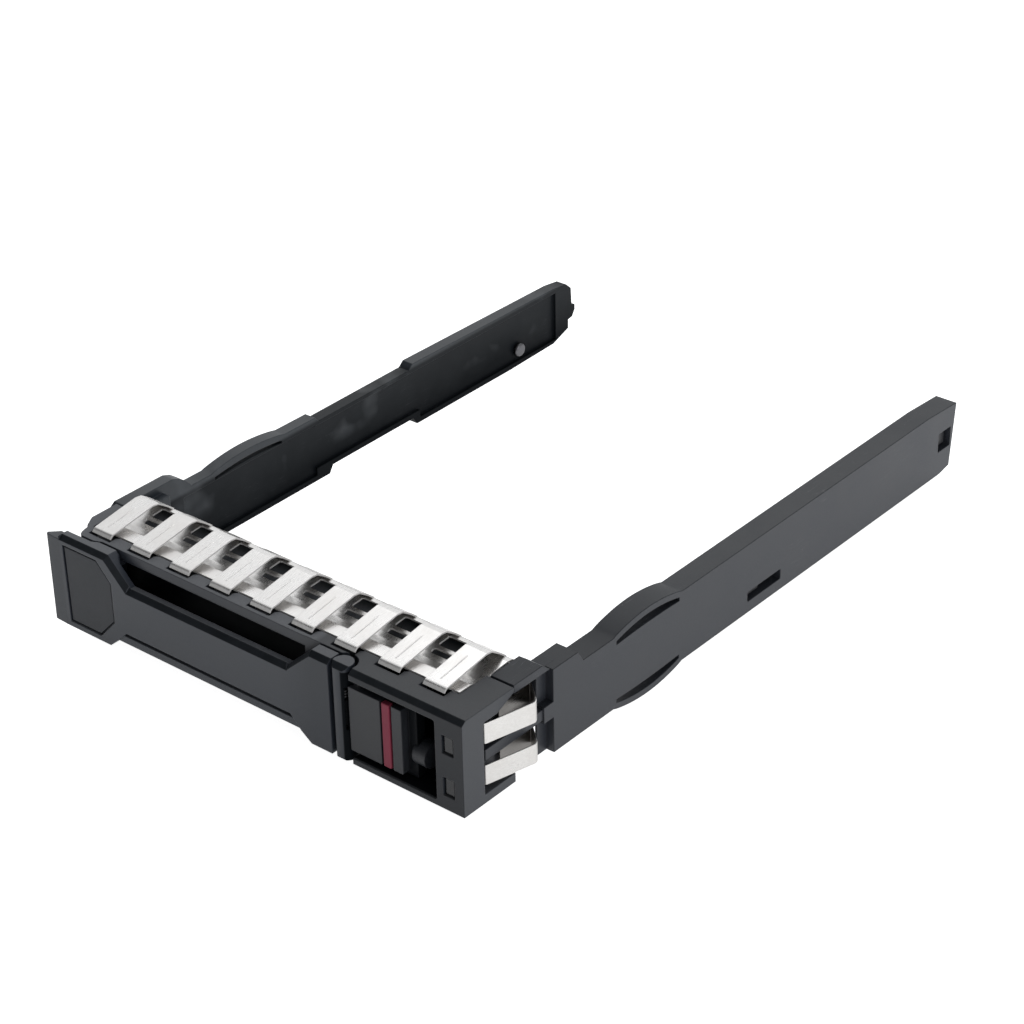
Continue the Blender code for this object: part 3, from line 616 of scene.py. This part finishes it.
# chamfer, front, top and the shade functions add painted shade and painted light to these materials, and the steels
# carry a painted edge highlight
BEZEL_MAT = plastic("moulded_black_bezel", (0.0225, 0.0265, 0.0345), 0.36, worn=0.10, chamfer=0.9, painted_shade=bezel_painted_shade, front=0.52, top=(2.1, 0.36, 4.6, 0.0115))
LEVER_MAT = plastic("moulded_black_lever", (0.0240, 0.0292, 0.0395), 0.38, worn=0.10, chamfer=0.9, painted_shade=lever_painted_shade, spec=0.45, top=(3.6, 0.7))
LATCH_MAT = plastic("moulded_black_latch", (0.0190, 0.0212, 0.0258), 0.40, worn=0.08, spec=0.40, painted_shade=latch_painted_shade)
RAIL_MAT = plastic("moulded_black_rail", (0.0278, 0.0315, 0.0400), 0.40, worn=0.04, scuff=0.22, painted_shade=right_rail_painted_shade, rim=0.55)
LEFT_RAIL_MAT = plastic("moulded_black_left_rail", (0.0205, 0.0270, 0.0350), 0.40, worn=0.08, scuff=0.1, painted_shade=left_rail_painted_shade)
LABEL_MAT = plastic("charcoal_insert", (0.0400, 0.0430, 0.0490), 0.62, worn=0.05, grain=0.35, tint=0.05, spec=0.35)
STRIPE_MAT = plastic("maroon_insert", (0.215, 0.030, 0.055), 0.50, worn=0.04, grain=0.2, tint=0.08, spec=0.22)
CLIP_MAT = plastic("moulded_black_clip", (0.028, 0.029, 0.032), 0.4, worn=0.1)
SHEET_MAT = steel("satin_contact_strip", (0.80, 0.785, 0.77), 0.27, brush=(1.0, 26.0, 1.0), cut_ends=True)
SIDE_MAT = steel("satin_side_strip", (0.80, 0.785, 0.765), 0.30, brush=(1.0, 20.0, 1.0), painted_brown_shade=side_sheet_painted_shade)
PLATE_MAT = steel("plated_back_sheet", (0.62, 0.62, 0.61), 0.34, brush=(30.0, 1.0, 1.0))
WIRE_MAT = steel("blackened_spring_wire", (0.06, 0.06, 0.063), 0.30, brush=(2.0, 2.0, 2.0), strength=0.08)
PIN_MAT = steel("blackened_pin_steel", (0.16, 0.16, 0.17), 0.34, brush=(12.0, 1.0, 1.0))
LENS_MAT = lens("smoked_light_guide", (0.011, 0.0125, 0.0155))


# ---- bezel frame ---------------------------------------------------------------
corner = [(BEZEL_LEFT, 6.6), (-35.6, 4.7), (-35.35, 4.55), (-35.15, 4.2), (-35.05, 3.6), (-34.85, 2.95), (-34.55, 2.45), (-34.2, 2.2)]
outline = (
    [(BEZEL_RIGHT, 0.0), (BEZEL_RIGHT, 10.4), (34.0, 10.4), (34.0, BEZEL_REAR)]
    + [(-34.2, BEZEL_REAR), (-34.2, 11.4), (BEZEL_LEFT, 11.4)]
    + corner
    + [(-31.6, 2.2), (-30.4, 2.75), (8.9, 2.65), (9.2, 2.75), (15.6, 2.75)]
    + circle(PIVOT_X, PIVOT_Y, 2.1, 18, 136, -127)
    + [(19.4, 1.4), (19.4, 0.0)]
)
bezel = prism("bezel_frame_shell", outline, "z", 0.0, BEZEL_H)
cut(
    bezel,
    block("c", (-27.2, 11.0), (-1, 8.8), (1.4, 12.2)),
    block("c", (-27.2, 9.0), (-1, 4.6), (12.0, 13.35)),
    block("c", (-27.4, 11.2), (-1, 4.2), (-1, 12.2)),
    block("c", (-35.6, -26.9), (4.2, 8.8), (1.4, 12.2)),
    block("c", (-32.6, 32.4), (10.4, 18), (1.4, 12.0)),
    prism("c", rounded((18.7, WINDOW_X1), (WINDOW_Z0, WINDOW_Z1), 0.35), "y", -1, 4.5),
    block("c", (18.7, WINDOW_X1), (4.4, 6.6), (WINDOW_Z0, 12.5)),
    block("c", (-34.6, 34.4), (4.95, 18), (13.3, 16)),
    prism("c", [(4.2, 1.4), (12, 1.4), (12, 14.1), (10.2, 14.1), (7.0, 12.7), (4.5, 12.7), (4.2, 12.4)], "x", 36.5, 41),
    block("c", (34.3, 41), (10.1, 12), (1.4, 13.6)),
    block("c", (34.35, 41), (10.4, 12), (13.3, 16)),
)
for i in range(FINGERS):
    x = FINGER_X0 + i * FINGER_PITCH
    cut(bezel, block("c", (x - 2.25, x + 2.1), (3.3, 5.1), (13.0, 16)))
    # the plate's edge between two notches has a cut left corner
    if i:
        cut(bezel, prism("c", [(x - 2.5 - 3.6, 4.2), (x - 2.5 - 3.6, 5.2), (x - 2.2 - 2.7, 5.2)], "z", 14.2, 16))
cut(
    bezel,
    block("c", (35.45, 37.45), (-1, 3.6), (8.85, 11.75)),
    block("c", (35.45, 37.45), (-1, 3.6), (2.2, 5.1)),
    block("c", (35.2, 36.7), (2.1, 12), (8.1, 10.2)),
    block("c", (35.2, 36.7), (2.1, 12), (4.2, 6.0)),
    block("c", (35.2, 36.7), (2.1, 4.1), (2.2, 6.0)),
    block("c", (35.2, 36.7), (2.1, 4.1), (8.1, 11.75)),
    rod("c", "z", (PIVOT_X, PIVOT_Y), 3.75, 1.3, 4.9),
    rod("c", "z", (PIVOT_X, PIVOT_Y), 1.9, 9.35, 12.0),
    block("c", (8.0, PIVOT_X), (2.3, 3.5), (9.35, 12.0)),
    prism("c", [(-1, BEZEL_H - FRONT_CHAMFER_Z), (-1, 16), (0.8, 16), (FRONT_CHAMFER_Y, BEZEL_H), (0.0, BEZEL_H - FRONT_CHAMFER_Z)], "x", 19.3, 41),
)
lug = block("lug", (PIVOT_X - LUG_R, PIVOT_X + LUG_R), (PIVOT_Y, 4.2), (LUG_Z0, LUG_Z1))
join(bezel, lug, rod("lug_eye", "z", (PIVOT_X, PIVOT_Y), LUG_R, LUG_Z0 - 0.001, LUG_Z1 + 0.001, 32))
cut(bezel, rod("c", "z", (PIVOT_X, PIVOT_Y), PIN_R + 0.06, LUG_Z0 - 1, LUG_Z1 + 1, 24))
# stiffening ribs in the hollow behind the cross wall and in the finger space
for x in (-24.5, -13.5, -2.5, 8.5, 19.5):
    join(bezel, block("rib", (x - 0.35, x + 0.35), (10.2, 15.6), (1.3, 12.1)))
join(bezel, prism("web", [(11.2, 12.3), (6.6, 12.3)] + circle(6.6, 7.8, 4.2, 10, 90, -90) + [(11.2, 7.8)], "y", 5.6, 8.9))
soften(bezel, 0.16)
place(bezel, "carrier", "bezel_frame", BEZEL_MAT)


# ---- rails ----------------------------------------------------------------------
def leaf_arc(z, sign, rise, steps=22, y0=LEAF_Y0, y1=LEAF_Y1):
    """Arc from one end of the leaf spring to the other, standing off the rail edge."""
    pts = []
    for i in range(steps + 1):
        t = i / steps
        pts.append((y0 + (y1 - y0) * t, z + sign * rise * math.sin(math.pi * t) ** 0.8))
    return pts


def left_leaf(z, rise):
    return leaf_arc(z, 1, rise, y0=LEFT_LEAF_Y0, y1=LEFT_LEAF_Y1)


def pin_holes(body, side):
    for y in (PIN_FRONT_Y, PIN_REAR_Y):
        low, high = sorted((side * (RAIL_OUT - RAIL_WEB - 0.5), side * (RAIL_OUT - 0.35)))
        cut(body, rod("c", "x", (y, PIN_Z), 0.95, low, high, 32))
    return body


def right_side_rail(name):
    """Channel rail: a web with wide flanges, leaf springs above and below."""
    upper = [(SHOULDER_REAR + 0.7, RAIL_H)] + leaf_arc(RAIL_H, 1, LEAF_RISE) + [(110.0, RAIL_H), (RAIL_REAR, 11.0)]
    lower = [(RAIL_REAR - 1.2, 0.5), (114.2, 0.0)] + leaf_arc(0.0, -1, LEAF_RISE)[::-1]
    outline = [(RAIL_FRONT, 0.0), (RAIL_FRONT, SHOULDER_H), (SHOULDER_REAR - 0.4, SHOULDER_H)] + upper + lower
    body = prism(name, outline, "x", RAIL_IN, RAIL_OUT)
    # channel between the flanges, open towards the drive
    cut(body, block("c", (RAIL_IN - 1, RAIL_OUT - RAIL_WEB), (RAIL_FRONT - 1, 112.4), (FLANGE, 10.4)))
    # curved slits that free the leaf springs, widest in the middle
    for z, sign in ((RAIL_H, 1), (0.0, -1)):
        inner = leaf_arc(z - sign * 1.35, sign, 0.25)
        outer = leaf_arc(z - sign * 1.0, sign, 1.25)
        cut(body, prism("c", inner[1:-1] + outer[1:-1][::-1], "x", RAIL_IN - 1, RAIL_OUT + 1))
    # pockets behind the side contacts
    cut(
        body,
        block("c", (37.5, RAIL_OUT + 1), (RAIL_FRONT - 1, 18.7), (8.2, SHOULDER_H + 1)),
        block("c", (37.5, RAIL_OUT + 1), (RAIL_FRONT - 1, 18.7), (-1, 5.7)),
    )
    # tongue that lies in the side opening of the bezel, and the top ledge over it
    join(
        body,
        block("t", (37.3, 38.6), (4.9, 19.2), (6.2, 7.9)),
        block("t", (34.75, 38.7), (10.8, 19.4), (13.62, BEZEL_H)),
        block("t", (35.2, 37.45), (16.8, 20.5), (11.0, 14.3)),
    )
    # slope from the ledge down to the shoulder
    cut(body, prism("c", [(16.6, 16), (16.6, BEZEL_H + 0.01), (18.6, SHOULDER_H + 0.01), (22, SHOULDER_H + 0.01), (22, 16)], "x", 33, 41))
    cut(
        body,
        prism("c", rounded((62.9, 71.1), (1.85, 3.5), 0.2, 3), "x", 36.5, 40),
        prism("c", rounded((113.3, 116.7), (4.15, 7.4), 0.2, 3), "x", 36.5, 40),
        block("c", (34, 36.9), (17, 117.0), (FLANGE, 10.2)),
    )
    return body


def left_side_rail(name):
    """Flat rail: a web with narrow flanges, one leaf spring and a block at the front."""
    outline = (
        [(11.8, 1.6), (11.8, 13.2), (12.9, 13.95), (22.6, 13.9), (24.0, 13.4), (25.2, 12.5), (26.4, LEFT_H + 0.05)]
        + left_leaf(LEFT_H, LEFT_LEAF_RISE)
        + [(53.2, 11.1), (53.9, 10.3), (75.0, 10.3), (76.0, 11.15), (112.0, 10.55), (115.4, 10.1), (116.6, 9.0)]
        + [(116.8, 5.7), (117.6, 5.55), (117.6, 4.6), (116.9, 3.5), (115.8, 3.3), (115.8, 1.7), (111.8, 0.3), (100.2, 0.0)]
        + [(76.6, 0.0), (75.8, 1.3), (56.6, 1.3), (55.8, 0.0), (RAIL_FRONT, 0.0), (RAIL_FRONT, 1.6)]
    )
    body = prism(name, outline, "x", -RAIL_OUT, -LEFT_IN)
    web, inside = -(RAIL_OUT - RAIL_WEB), -(LEFT_IN - 1)
    cut(
        body,
        block("c", (web, inside), (24.6, 53.0), (0.9, 9.8)),
        block("c", (web, inside), (52.9, 77.5), (2.2, 9.6)),
        block("c", (web, inside), (77.4, 112.4), (0.9, 9.6)),
    )
    inner = left_leaf(LEFT_H - 1.35, 0.5)
    outer = left_leaf(LEFT_H - 0.95, 0.7)
    cut(body, prism("c", inner[1:-1] + outer[1:-1][::-1], "x", -(RAIL_OUT + 1), inside))
    # foot that meets the rear corner of the bezel
    join(
        body,
        block("t", (-36.9, -34.5), (11.85, 16.2), (1.65, 12.6)),
        block("t", (-36.9, -35.2), (16.1, 20.5), (1.65, 12.6)),
    )
    return body


for side, word in ((1, "right"), (-1, "left")):
    piece = (right_side_rail if side > 0 else left_side_rail)("%s_rail_moulding" % word)
    pin_holes(piece, side)
    soften(piece, 0.12)
    place(piece, "carrier", "%s_rail" % word, RAIL_MAT if side > 0 else LEFT_RAIL_MAT)
    for y, spot in ((PIN_FRONT_Y, "front"), (PIN_REAR_Y, "rear")):
        web = RAIL_OUT - RAIL_WEB
        profile = [
            (web + 0.9, 0.7), (web + 0.8, 0.8), (web - 0.3, 0.8), (web - 0.3, 1.13), (web - 0.34, 1.2),
            (web - 0.5, 1.2), (web - 0.65, 1.15), (web - 0.77, 1.06), (web - 0.86, 0.93), (web - 0.92, 0.75), (web - 0.95, 0.5),
        ]
        pin = turned("locating_pin_%s_%s" % (spot, word), profile, (y, PIN_Z), side)
        place(pin, "carrier", "drive_pin_%s_%s" % (spot, word), PIN_MAT, 40)


# ---- ejector lever -----------------------------------------------------------------
front = [
    (-36.9, 0.0), (-27.6, 0.0), (-26.2, BAR_BOTTOM), (10.0, BAR_BOTTOM), (11.8, 0.0), (15.6, 0.0),
    (15.6, BEZEL_H), (12.1, BEZEL_H), (7.6, BAR_TOP), (-23.1, BAR_TOP), (-27.2, BEZEL_H), (-36.7, BEZEL_H),
]
lever = prism("ejector_lever_moulding", front, "y", 0.0, LEVER_T)
cut(
    lever,
    prism("c", [(-41, 1.85), (-31.8, 1.85), (-30.6, LEVER_T + 0.01), (-30.6, 4), (-41, 4)], "z", -1, 16),
    prism("c", [(-26.6, 4), (-26.6, 2.2), (-25.8, 1.7), (9.2, 1.7), (10.0, 2.2), (10.0, 4)], "z", -1, 16),
    prism("c", [(-27.25, BAR_BOTTOM - 1), (-24.05, 3.35), (8.0, 3.35), (10.95, BAR_BOTTOM - 1)], "y", -1, 0.35),
    # and the groove that divides it from the bar
    prism("c", [(-24.9, 2.5), (-24.05, 3.35), (8.0, 3.35), (8.75, 2.5)], "y", -0.9, 0.9),
)
lip = prism("lip", [(-36.2, 0.0), (-36.2, 1.8), (-37.9, 1.85), (LEVER_LEFT, 0.45), (-39.2, 0.12), (-36.8, 0.0)], "z", 0.0, 14.4)
join(lever, lip)
steps_up = [(-36.6, BEZEL_H), (-27.2, BEZEL_H), (-23.1, BAR_TOP), (7.6, BAR_TOP), (12.1, BEZEL_H), (20.2, BEZEL_H)]


def chamfer_cutter(xa, za, xb, zb, push_a, push_b):
    run = Vector((xb - xa, 0, zb - za)).normalized()
    up = Vector((-run.z, 0, run.x))
    bm = bmesh.new()
    ends = []
    for x, z, push in ((xa, za, -push_a), (xb, zb, push_b)):
        base = Vector((x, 0, z)) + run * push
        ring = [
            base + up * -FRONT_CHAMFER_Z + Vector((0, -0.0001, 0)),
            base + Vector((0, FRONT_CHAMFER_Y, 0.0)),
            base + up * 1.5 + Vector((0, FRONT_CHAMFER_Y, 0)),
            base + up * 1.5 + Vector((0, -1, 0)),
            base + up * -FRONT_CHAMFER_Z + Vector((0, -1, 0)),
        ]
        ends.append([bm.verts.new(p * MM) for p in ring])
    for k in range(5):
        bm.faces.new((ends[0][k], ends[0][(k + 1) % 5], ends[1][(k + 1) % 5], ends[1][k]))
    bm.faces.new(ends[0])
    bm.faces.new(ends[1])
    return add_mesh("c", bm)


for (xa, za), (xb, zb) in zip(steps_up, steps_up[1:]):
    push_a = 0.02 if xa < -36 else 0.3
    if abs(za - zb) < 0.01 and za < 13:
        push_a = push_b = 0.3
    else:
        push_b = 0.3
    cut(lever, chamfer_cutter(xa, za, xb, zb, push_a, push_b))
barrel = rod("barrel", "z", (PIVOT_X, PIVOT_Y), BARREL_R, 0.0, BEZEL_H, 64)
join(barrel, block("neck", (15.0, 17.0), (1.75, LEVER_T), (0.0, 14.0)))
cut(barrel, block("c", (14, 21), (-2, 0.0), (-1, 16)))
cut(barrel, chamfer_cutter(14.0, BEZEL_H, 21.0, BEZEL_H, 0.0, 0.0))
join(lever, barrel)
join(lever, prism("heel", [(17.1, 1.9), (20.5, 1.9), (20.5, 2.7), (17.1, 2.7)], "z", 1.9, 4.3))
open_side = [(PIVOT_X, PIVOT_Y), (14.9, 1.98), (14.9, 4.5), (20.6, 4.5), (20.6, -0.3), (18.7, -0.3)]
cut(
    lever,
    prism("c", open_side, "z", 4.9, 11.7),
    rod("c", "z", (PIVOT_X, PIVOT_Y), 1.2, 4.9, 11.7),
    rod("c", "z", (PIVOT_X, PIVOT_Y), PIN_R + 0.12, -1, 13.6, 24),
    prism("c", [(-35.85, 0.86), (-36.0, 13.7), (-29.0, 13.7), (-26.3, 10.8), (-26.3, 4.2), (-29.5, 0.86)], "y", -1, 0.75),
)
soften(lever, 0.16)
place(lever, "lever", "ejector_lever", LEVER_MAT)

label = prism("blank_label_panel", [(-35.55, 1.16), (-35.7, 13.4), (-29.15, 13.4), (-26.6, 10.7), (-26.6, 4.35), (-29.65, 1.16)], "y", 0.12, 0.45)
soften(label, 0.05)
place(label, "lever", "lever_label_insert", LABEL_MAT)

pin = prism("hinge_pin_turned", circle(PIVOT_X, PIVOT_Y, PIN_R, 32), "z", 0.4, 13.3)
soften(pin, 0.08)
place(pin, "carrier", "lever_hinge_pin", PIN_MAT)

coil = []
turns, steps = 2.75, 28
for i in range(int(turns * steps) + 1):
    a = math.radians(180) + 2 * math.pi * i / steps
    coil.append((PIVOT_X + 0.82 * math.cos(a), PIVOT_Y + 0.82 * math.sin(a), 9.75 + 0.42 * i / steps))
lead = [(11.0, 2.78, 9.75), (14.4, 2.85, 9.75), (15.95, 2.75, 9.75), (16.5, 2.2, 9.75)]
tail_z = coil[-1][2]
tail = [(PIVOT_X - 0.2, 2.35, tail_z + 0.02), (PIVOT_X - 0.3, 3.05, tail_z + 0.02)]
spring = tube("torsion_spring_wire", lead + coil + tail, 0.16)
place(spring, "carrier", "lever_return_spring", WIRE_MAT, 40)


# ---- release latch --------------------------------------------------------------------
latch = prism("release_latch_moulding", rounded((LATCH_X0, STRIPE_X0 - 0.3), (LATCH_Z0, LATCH_Z1), 0.15, 3), "y", LATCH_FACE, 2.0)
join(
    latch,
    prism("t", rounded((STRIPE_X1 + 0.3, LATCH_X1), (LATCH_Z0, LATCH_Z1), 0.15, 3), "y", LATCH_FACE, 2.0),
    block("t", (21.6, 29.6), (1.75, 3.3), (1.25, 13.05)),
    block("t", (21.4, 23.4), (1.6, 3.3), (5.6, 12.4)),
    rod("t", "x", (POST_Y, POST_Z), POST_R, 29.2, 31.4, 56),
)
cut(
    latch,
    prism("c", [(18.5, 0.7), (18.91, 0.7), (19.25, 1.0), (19.25, 2.5), (18.5, 2.5)], "z", 1, 13),
    block("c", (18, 21.5), (1.7, 6), (1.4, 4.9)),
)
join(latch, block("t", (20.85, 23.0), (3.45, 4.4), (1.8, 4.5)), block("t", (22.2, 24.0), (2.5, 4.4), (1.8, 4.5)))
cut(latch, block("c", (STRIPE_X0 - 0.35, STRIPE_X1 + 0.35), (-1, 1.45), (0, 14)))
join(latch, block("t", (24.6, 25.8), (3.1, 5.8), (10.2, 12.1)))
soften(latch, 0.14)
place(latch, "latch", "release_latch", LATCH_MAT)

stripe = block("maroon_grip_stripe", (STRIPE_X0, STRIPE_X1), (0.22, 1.15), (LATCH_Z0, LATCH_Z1))
soften(stripe, 0.14)
place(stripe, "latch", "latch_stripe_insert", STRIPE_MAT)

coil = []
turns, steps, x0, x1 = 7.0, 24, 26.1, 34.0
for i in range(int(turns * steps) + 1):
    a = 2 * math.pi * i / steps
    coil.append((x0 + (x1 - x0) * i / (turns * steps), SPRING_Y + 0.7 * math.cos(a), SPRING_Z + 0.7 * math.sin(a)))
spring = tube("latch_coil_spring", coil, 0.16)
place(spring, "carrier", "latch_return_spring", WIRE_MAT, 40)
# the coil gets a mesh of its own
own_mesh(spring)


# ---- contact sheets ------------------------------------------------------------------------
SHEET_T = 0.25
base_path = [(5.3, 14.75), (7.6, 14.75), (8.6, 14.35), (9.8, 13.85), (11.0, 13.95), (12.6, 14.3), (15.0, 14.45), (16.3, 14.3), (16.75, 13.2)]
sheet = prism("contact_strip_top", offset_path(fillet_path(base_path, 0.9, 5), SHEET_T), "x", -34.2, 34.1)
for i in range(FINGERS - 1):
    x = FINGER_X0 + (i + 0.5) * FINGER_PITCH
    cut(
        sheet,
        prism("c", rounded((x - 3.1, x + 3.1), (11.0, 12.0), 0.3, 4), "z", 12, 16),
        prism("c", rounded((x - 3.1, x + 3.1), (12.6, 15.1), 0.4, 4), "z", 12, 16),
    )
finger_path = fillet_path([(3.75, 14.95), (4.2, 15.45), (12.3, 16.6), (13.4, 16.45), (15.0, 15.35), (16.2, 14.35)], 0.8, 6)
for i in range(FINGERS):
    x = FINGER_X0 + i * FINGER_PITCH
    join(sheet, prism("f", offset_path(finger_path, SHEET_T), "x", x - FINGER_W / 2, x + FINGER_W / 2))
    # pressed rib along the middle of the finger
    ridge = []
    for k in range(13):
        t = k / 12
        y = 5.3 + 5.4 * t
        ridge.append((x - 0.05, y, 15.45 + (y - 4.2) * 0.142 + SHEET_T / 2 - 0.07 + 0.05 * math.sin(math.pi * t) ** 0.5))
    join(sheet, tube("rib", ridge, 0.12, 12))
soften(sheet, 0.05, 1)
place(sheet, "carrier", "top_emi_spring", SHEET_MAT)

side_sheet = prism("contact_strip_side", [(36.85, 9.6), (37.05, 9.6), (37.05, 16.35), (36.85, 16.35)], "z", 1.75, 12.3)
side_path = fillet_path([(37.9, 4.95), (38.55, 4.85), (40.6, 12.7), (40.3, 13.3), (36.95, 16.2)], 0.7, 6)
for z0, z1 in ((8.9, 12.1), (2.4, 5.5)):
    join(side_sheet, prism("f", offset_path(side_path, 0.22), "z", z0, z1))
soften(side_sheet, 0.045, 1)
place(side_sheet, "carrier", "side_emi_spring", SIDE_MAT)

plate = block("ground_plate", (-33.6, 33.5), (16.75, 17.0), (1.0, 12.6))
for i in range(8):
    x = -29.4 + i * 8.4
    cut(plate, prism("c", rounded((x - 2.6, x + 2.6), (3.4, 10.2), 0.7, 5), "y", 16, 18))
soften(plate, 0.05, 1)
place(plate, "carrier", "emi_back_plate", PLATE_MAT)


# ---- light pipes ------------------------------------------------------------------------------
def light_pipe(name, z_lens, z_run):
    body = prism(name, rounded((35.75, 37.15), z_lens, 0.12, 3), "y", 0.25, 3.3)
    riser = (min(z_lens[0], z_run[0]) + 0.01, max(z_lens[1], z_run[1]) - 0.01)
    join(body, block("t", (35.5, 36.4), (2.5, 3.8), riser))
    join(body, block("t", (35.51, 36.39), (3.5, 113.0), z_run))
    return body


for word, z_lens, z_run in (("upper", (9.1, 11.5), (8.45, 9.75)), ("lower", (2.45, 4.85), (4.55, 5.65))):
    pipe = light_pipe("%s_light_guide" % word, z_lens, z_run)
    soften(pipe, 0.08)
    place(pipe, "carrier", "%s_light_pipe" % word, LENS_MAT)

clip = block("guide_clip_rear", (35.35, 36.55), (113.35, 116.4), (3.8, 10.0))
join(clip, prism("t", [(113.7, 4.5), (116.3, 4.5), (116.3, 7.0), (113.7, 7.0)], "x", 36.4, 37.9))
soften(clip, 0.1)
place(clip, "carrier", "light_pipe_rear_clip", CLIP_MAT)
clip = block("guide_clip_mid", (36.55, 36.9), (62.5, 71.5), (1.7, 8.1))
join(clip, block("t", (36.7, 38.0), (63.3, 66.6), (2.2, 3.15)), block("t", (35.3, 36.7), (63.4, 70.6), (6.0, 8.1)))
soften(clip, 0.08)
place(clip, "carrier", "light_pipe_mid_clip", CLIP_MAT)


# ---- stage: floor, light and camera ------------------------------------------------------------
FLOOR_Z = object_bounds()[0][2] - 0.0002


def floor_material():
    n = Nodes("pale_studio_floor")
    cloud = n.noise(6.0, 3.0, 0.5)
    fine = n.noise(900.0, 2.0, 0.5)
    colour = n.mix(n.ramp(cloud, 0.3, 0.7), (0.80, 0.80, 0.80, 1.0), (0.83, 0.83, 0.83, 1.0))
    n.link(colour, n.shader.inputs["Base Color"])
    path = n.new("ShaderNodeLightPath")
    glow = n.ramp(path.outputs["Is Camera Ray"], 0.0, 1.0, 0.55, 0.93)
    n.shader.inputs["Emission Color"].default_value = (1.0, 1.0, 1.0, 1.0)
    n.link(glow, n.shader.inputs["Emission Strength"])
    n.link(n.ramp(cloud, 0.2, 0.8, 0.55, 0.65), n.shader.inputs["Roughness"])
    n.shader.inputs["Specular IOR Level"].default_value = 0.2
    n.link(n.bump(fine, 0.05, 0.00002), n.shader.inputs["Normal"])
    return n.mat


bm = bmesh.new()
bmesh.ops.create_grid(bm, x_segments=8, y_segments=8, size=3.0)
floor = add_mesh("studio_floor", bm)
floor.location = (0, 0.5, FLOOR_Z)
floor.data.materials.append(floor_material())

world = bpy.data.worlds.new("studio_dome")
bpy.context.scene.world = world
world.use_nodes = True
tree = world.node_tree
background = tree.nodes["Background"]


def world_node(kind, **settings):
    node = tree.nodes.new(kind)
    for key, value in settings.items():
        setattr(node, key, value)
    return node


BASE_LEVEL = 0.10


def lobe(direction, inner, outer, level, previous):
    """Adds a soft round panel of light around a direction of the dome."""
    dot = world_node("ShaderNodeVectorMath", operation="DOT_PRODUCT")
    tree.links.new(tree.nodes["Texture Coordinate"].outputs["Generated"], dot.inputs[0])
    dot.inputs[1].default_value = Vector(direction).normalized()
    ramp = world_node("ShaderNodeMapRange", interpolation_type="SMOOTHSTEP")
    tree.links.new(dot.outputs["Value"], ramp.inputs["Value"])
    ramp.inputs["From Min"].default_value = math.cos(math.radians(outer))
    ramp.inputs["From Max"].default_value = math.cos(math.radians(inner))
    ramp.inputs["To Min"].default_value = 0.0
    ramp.inputs["To Max"].default_value = level
    add = world_node("ShaderNodeMath", operation="ADD")
    tree.links.new(ramp.outputs["Result"], add.inputs[0])
    if previous is None:
        add.inputs[1].default_value = BASE_LEVEL
    else:
        tree.links.new(previous, add.inputs[1])
    return add.outputs[0]


world_node("ShaderNodeTexCoord").name = "Texture Coordinate"
total = lobe((-0.53, 0.60, 0.60), 22, 50, 0.88, None)
total = lobe((0.62, 0.70, 0.25), 20, 60, 0.55, total)
total = lobe((0.0, 0.1, 1.0), 10, 45, 0.30, total)
total = lobe((0.9, -0.35, 0.3), 12, 50, 0.50, total)
tree.links.new(total, background.inputs["Strength"])
background.inputs["Color"].default_value = (0.97, 0.985, 1.0, 1.0)


def area(name, location, target, size, power, colour=(1.0, 1.0, 1.0)):
    light = bpy.data.lights.new(name, "AREA")
    light.shape = "RECTANGLE"
    light.size, light.size_y = size
    light.energy = power
    light.color = colour
    obj = bpy.data.objects.new(name, light)
    bpy.context.scene.collection.objects.link(obj)
    obj.location = location
    obj.rotation_euler = (Vector(target) - Vector(location)).to_track_quat("-Z", "Y").to_euler()
    return obj


area("key_softbox", (-0.25, 0.55, 0.75), (0, 0.04, 0), (0.6, 0.5), 1.0)
area("fill_softbox", (0.7, -0.1, 0.35), (0, 0.04, 0), (0.4, 0.4), 1.0)

AZ, EL, ROLL, FOCAL, DIST, SHIFT_U, SHIFT_V = 41.004, 30.457, -1.585, 2822.5, 417.15, -26.465, 2.74
az, el, roll = math.radians(AZ), math.radians(EL), math.radians(ROLL)
back = Vector((math.sin(az) * math.cos(el), -math.cos(az) * math.cos(el), math.sin(el)))
right = (-back).cross(Vector((0, 0, 1))).normalized()
up = right.cross(-back)
right, up = right * math.cos(roll) + up * math.sin(roll), up * math.cos(roll) - right * math.sin(roll)
data = bpy.data.cameras.new("photo_view")
camera = bpy.data.objects.new("photo_view", data)
bpy.context.scene.collection.objects.link(camera)
eye = (Vector((0, 50.65 - ORIGIN_Y, 8.1)) + back * DIST) * MM
camera.matrix_world = Matrix((
    (right.x, up.x, back.x, eye.x),
    (right.y, up.y, back.y, eye.y),
    (right.z, up.z, back.z, eye.z),
    (0, 0, 0, 1),
))
data.sensor_width = 36.0
data.lens = FOCAL / 1024 * 36.0
data.shift_x = -SHIFT_U / 1024
data.shift_y = SHIFT_V / 1024
data.clip_start, data.clip_end = 0.01, 20.0
bpy.context.scene.camera = camera

settings = bpy.context.scene.view_settings
settings.view_transform = "Standard"
settings.look = "None"
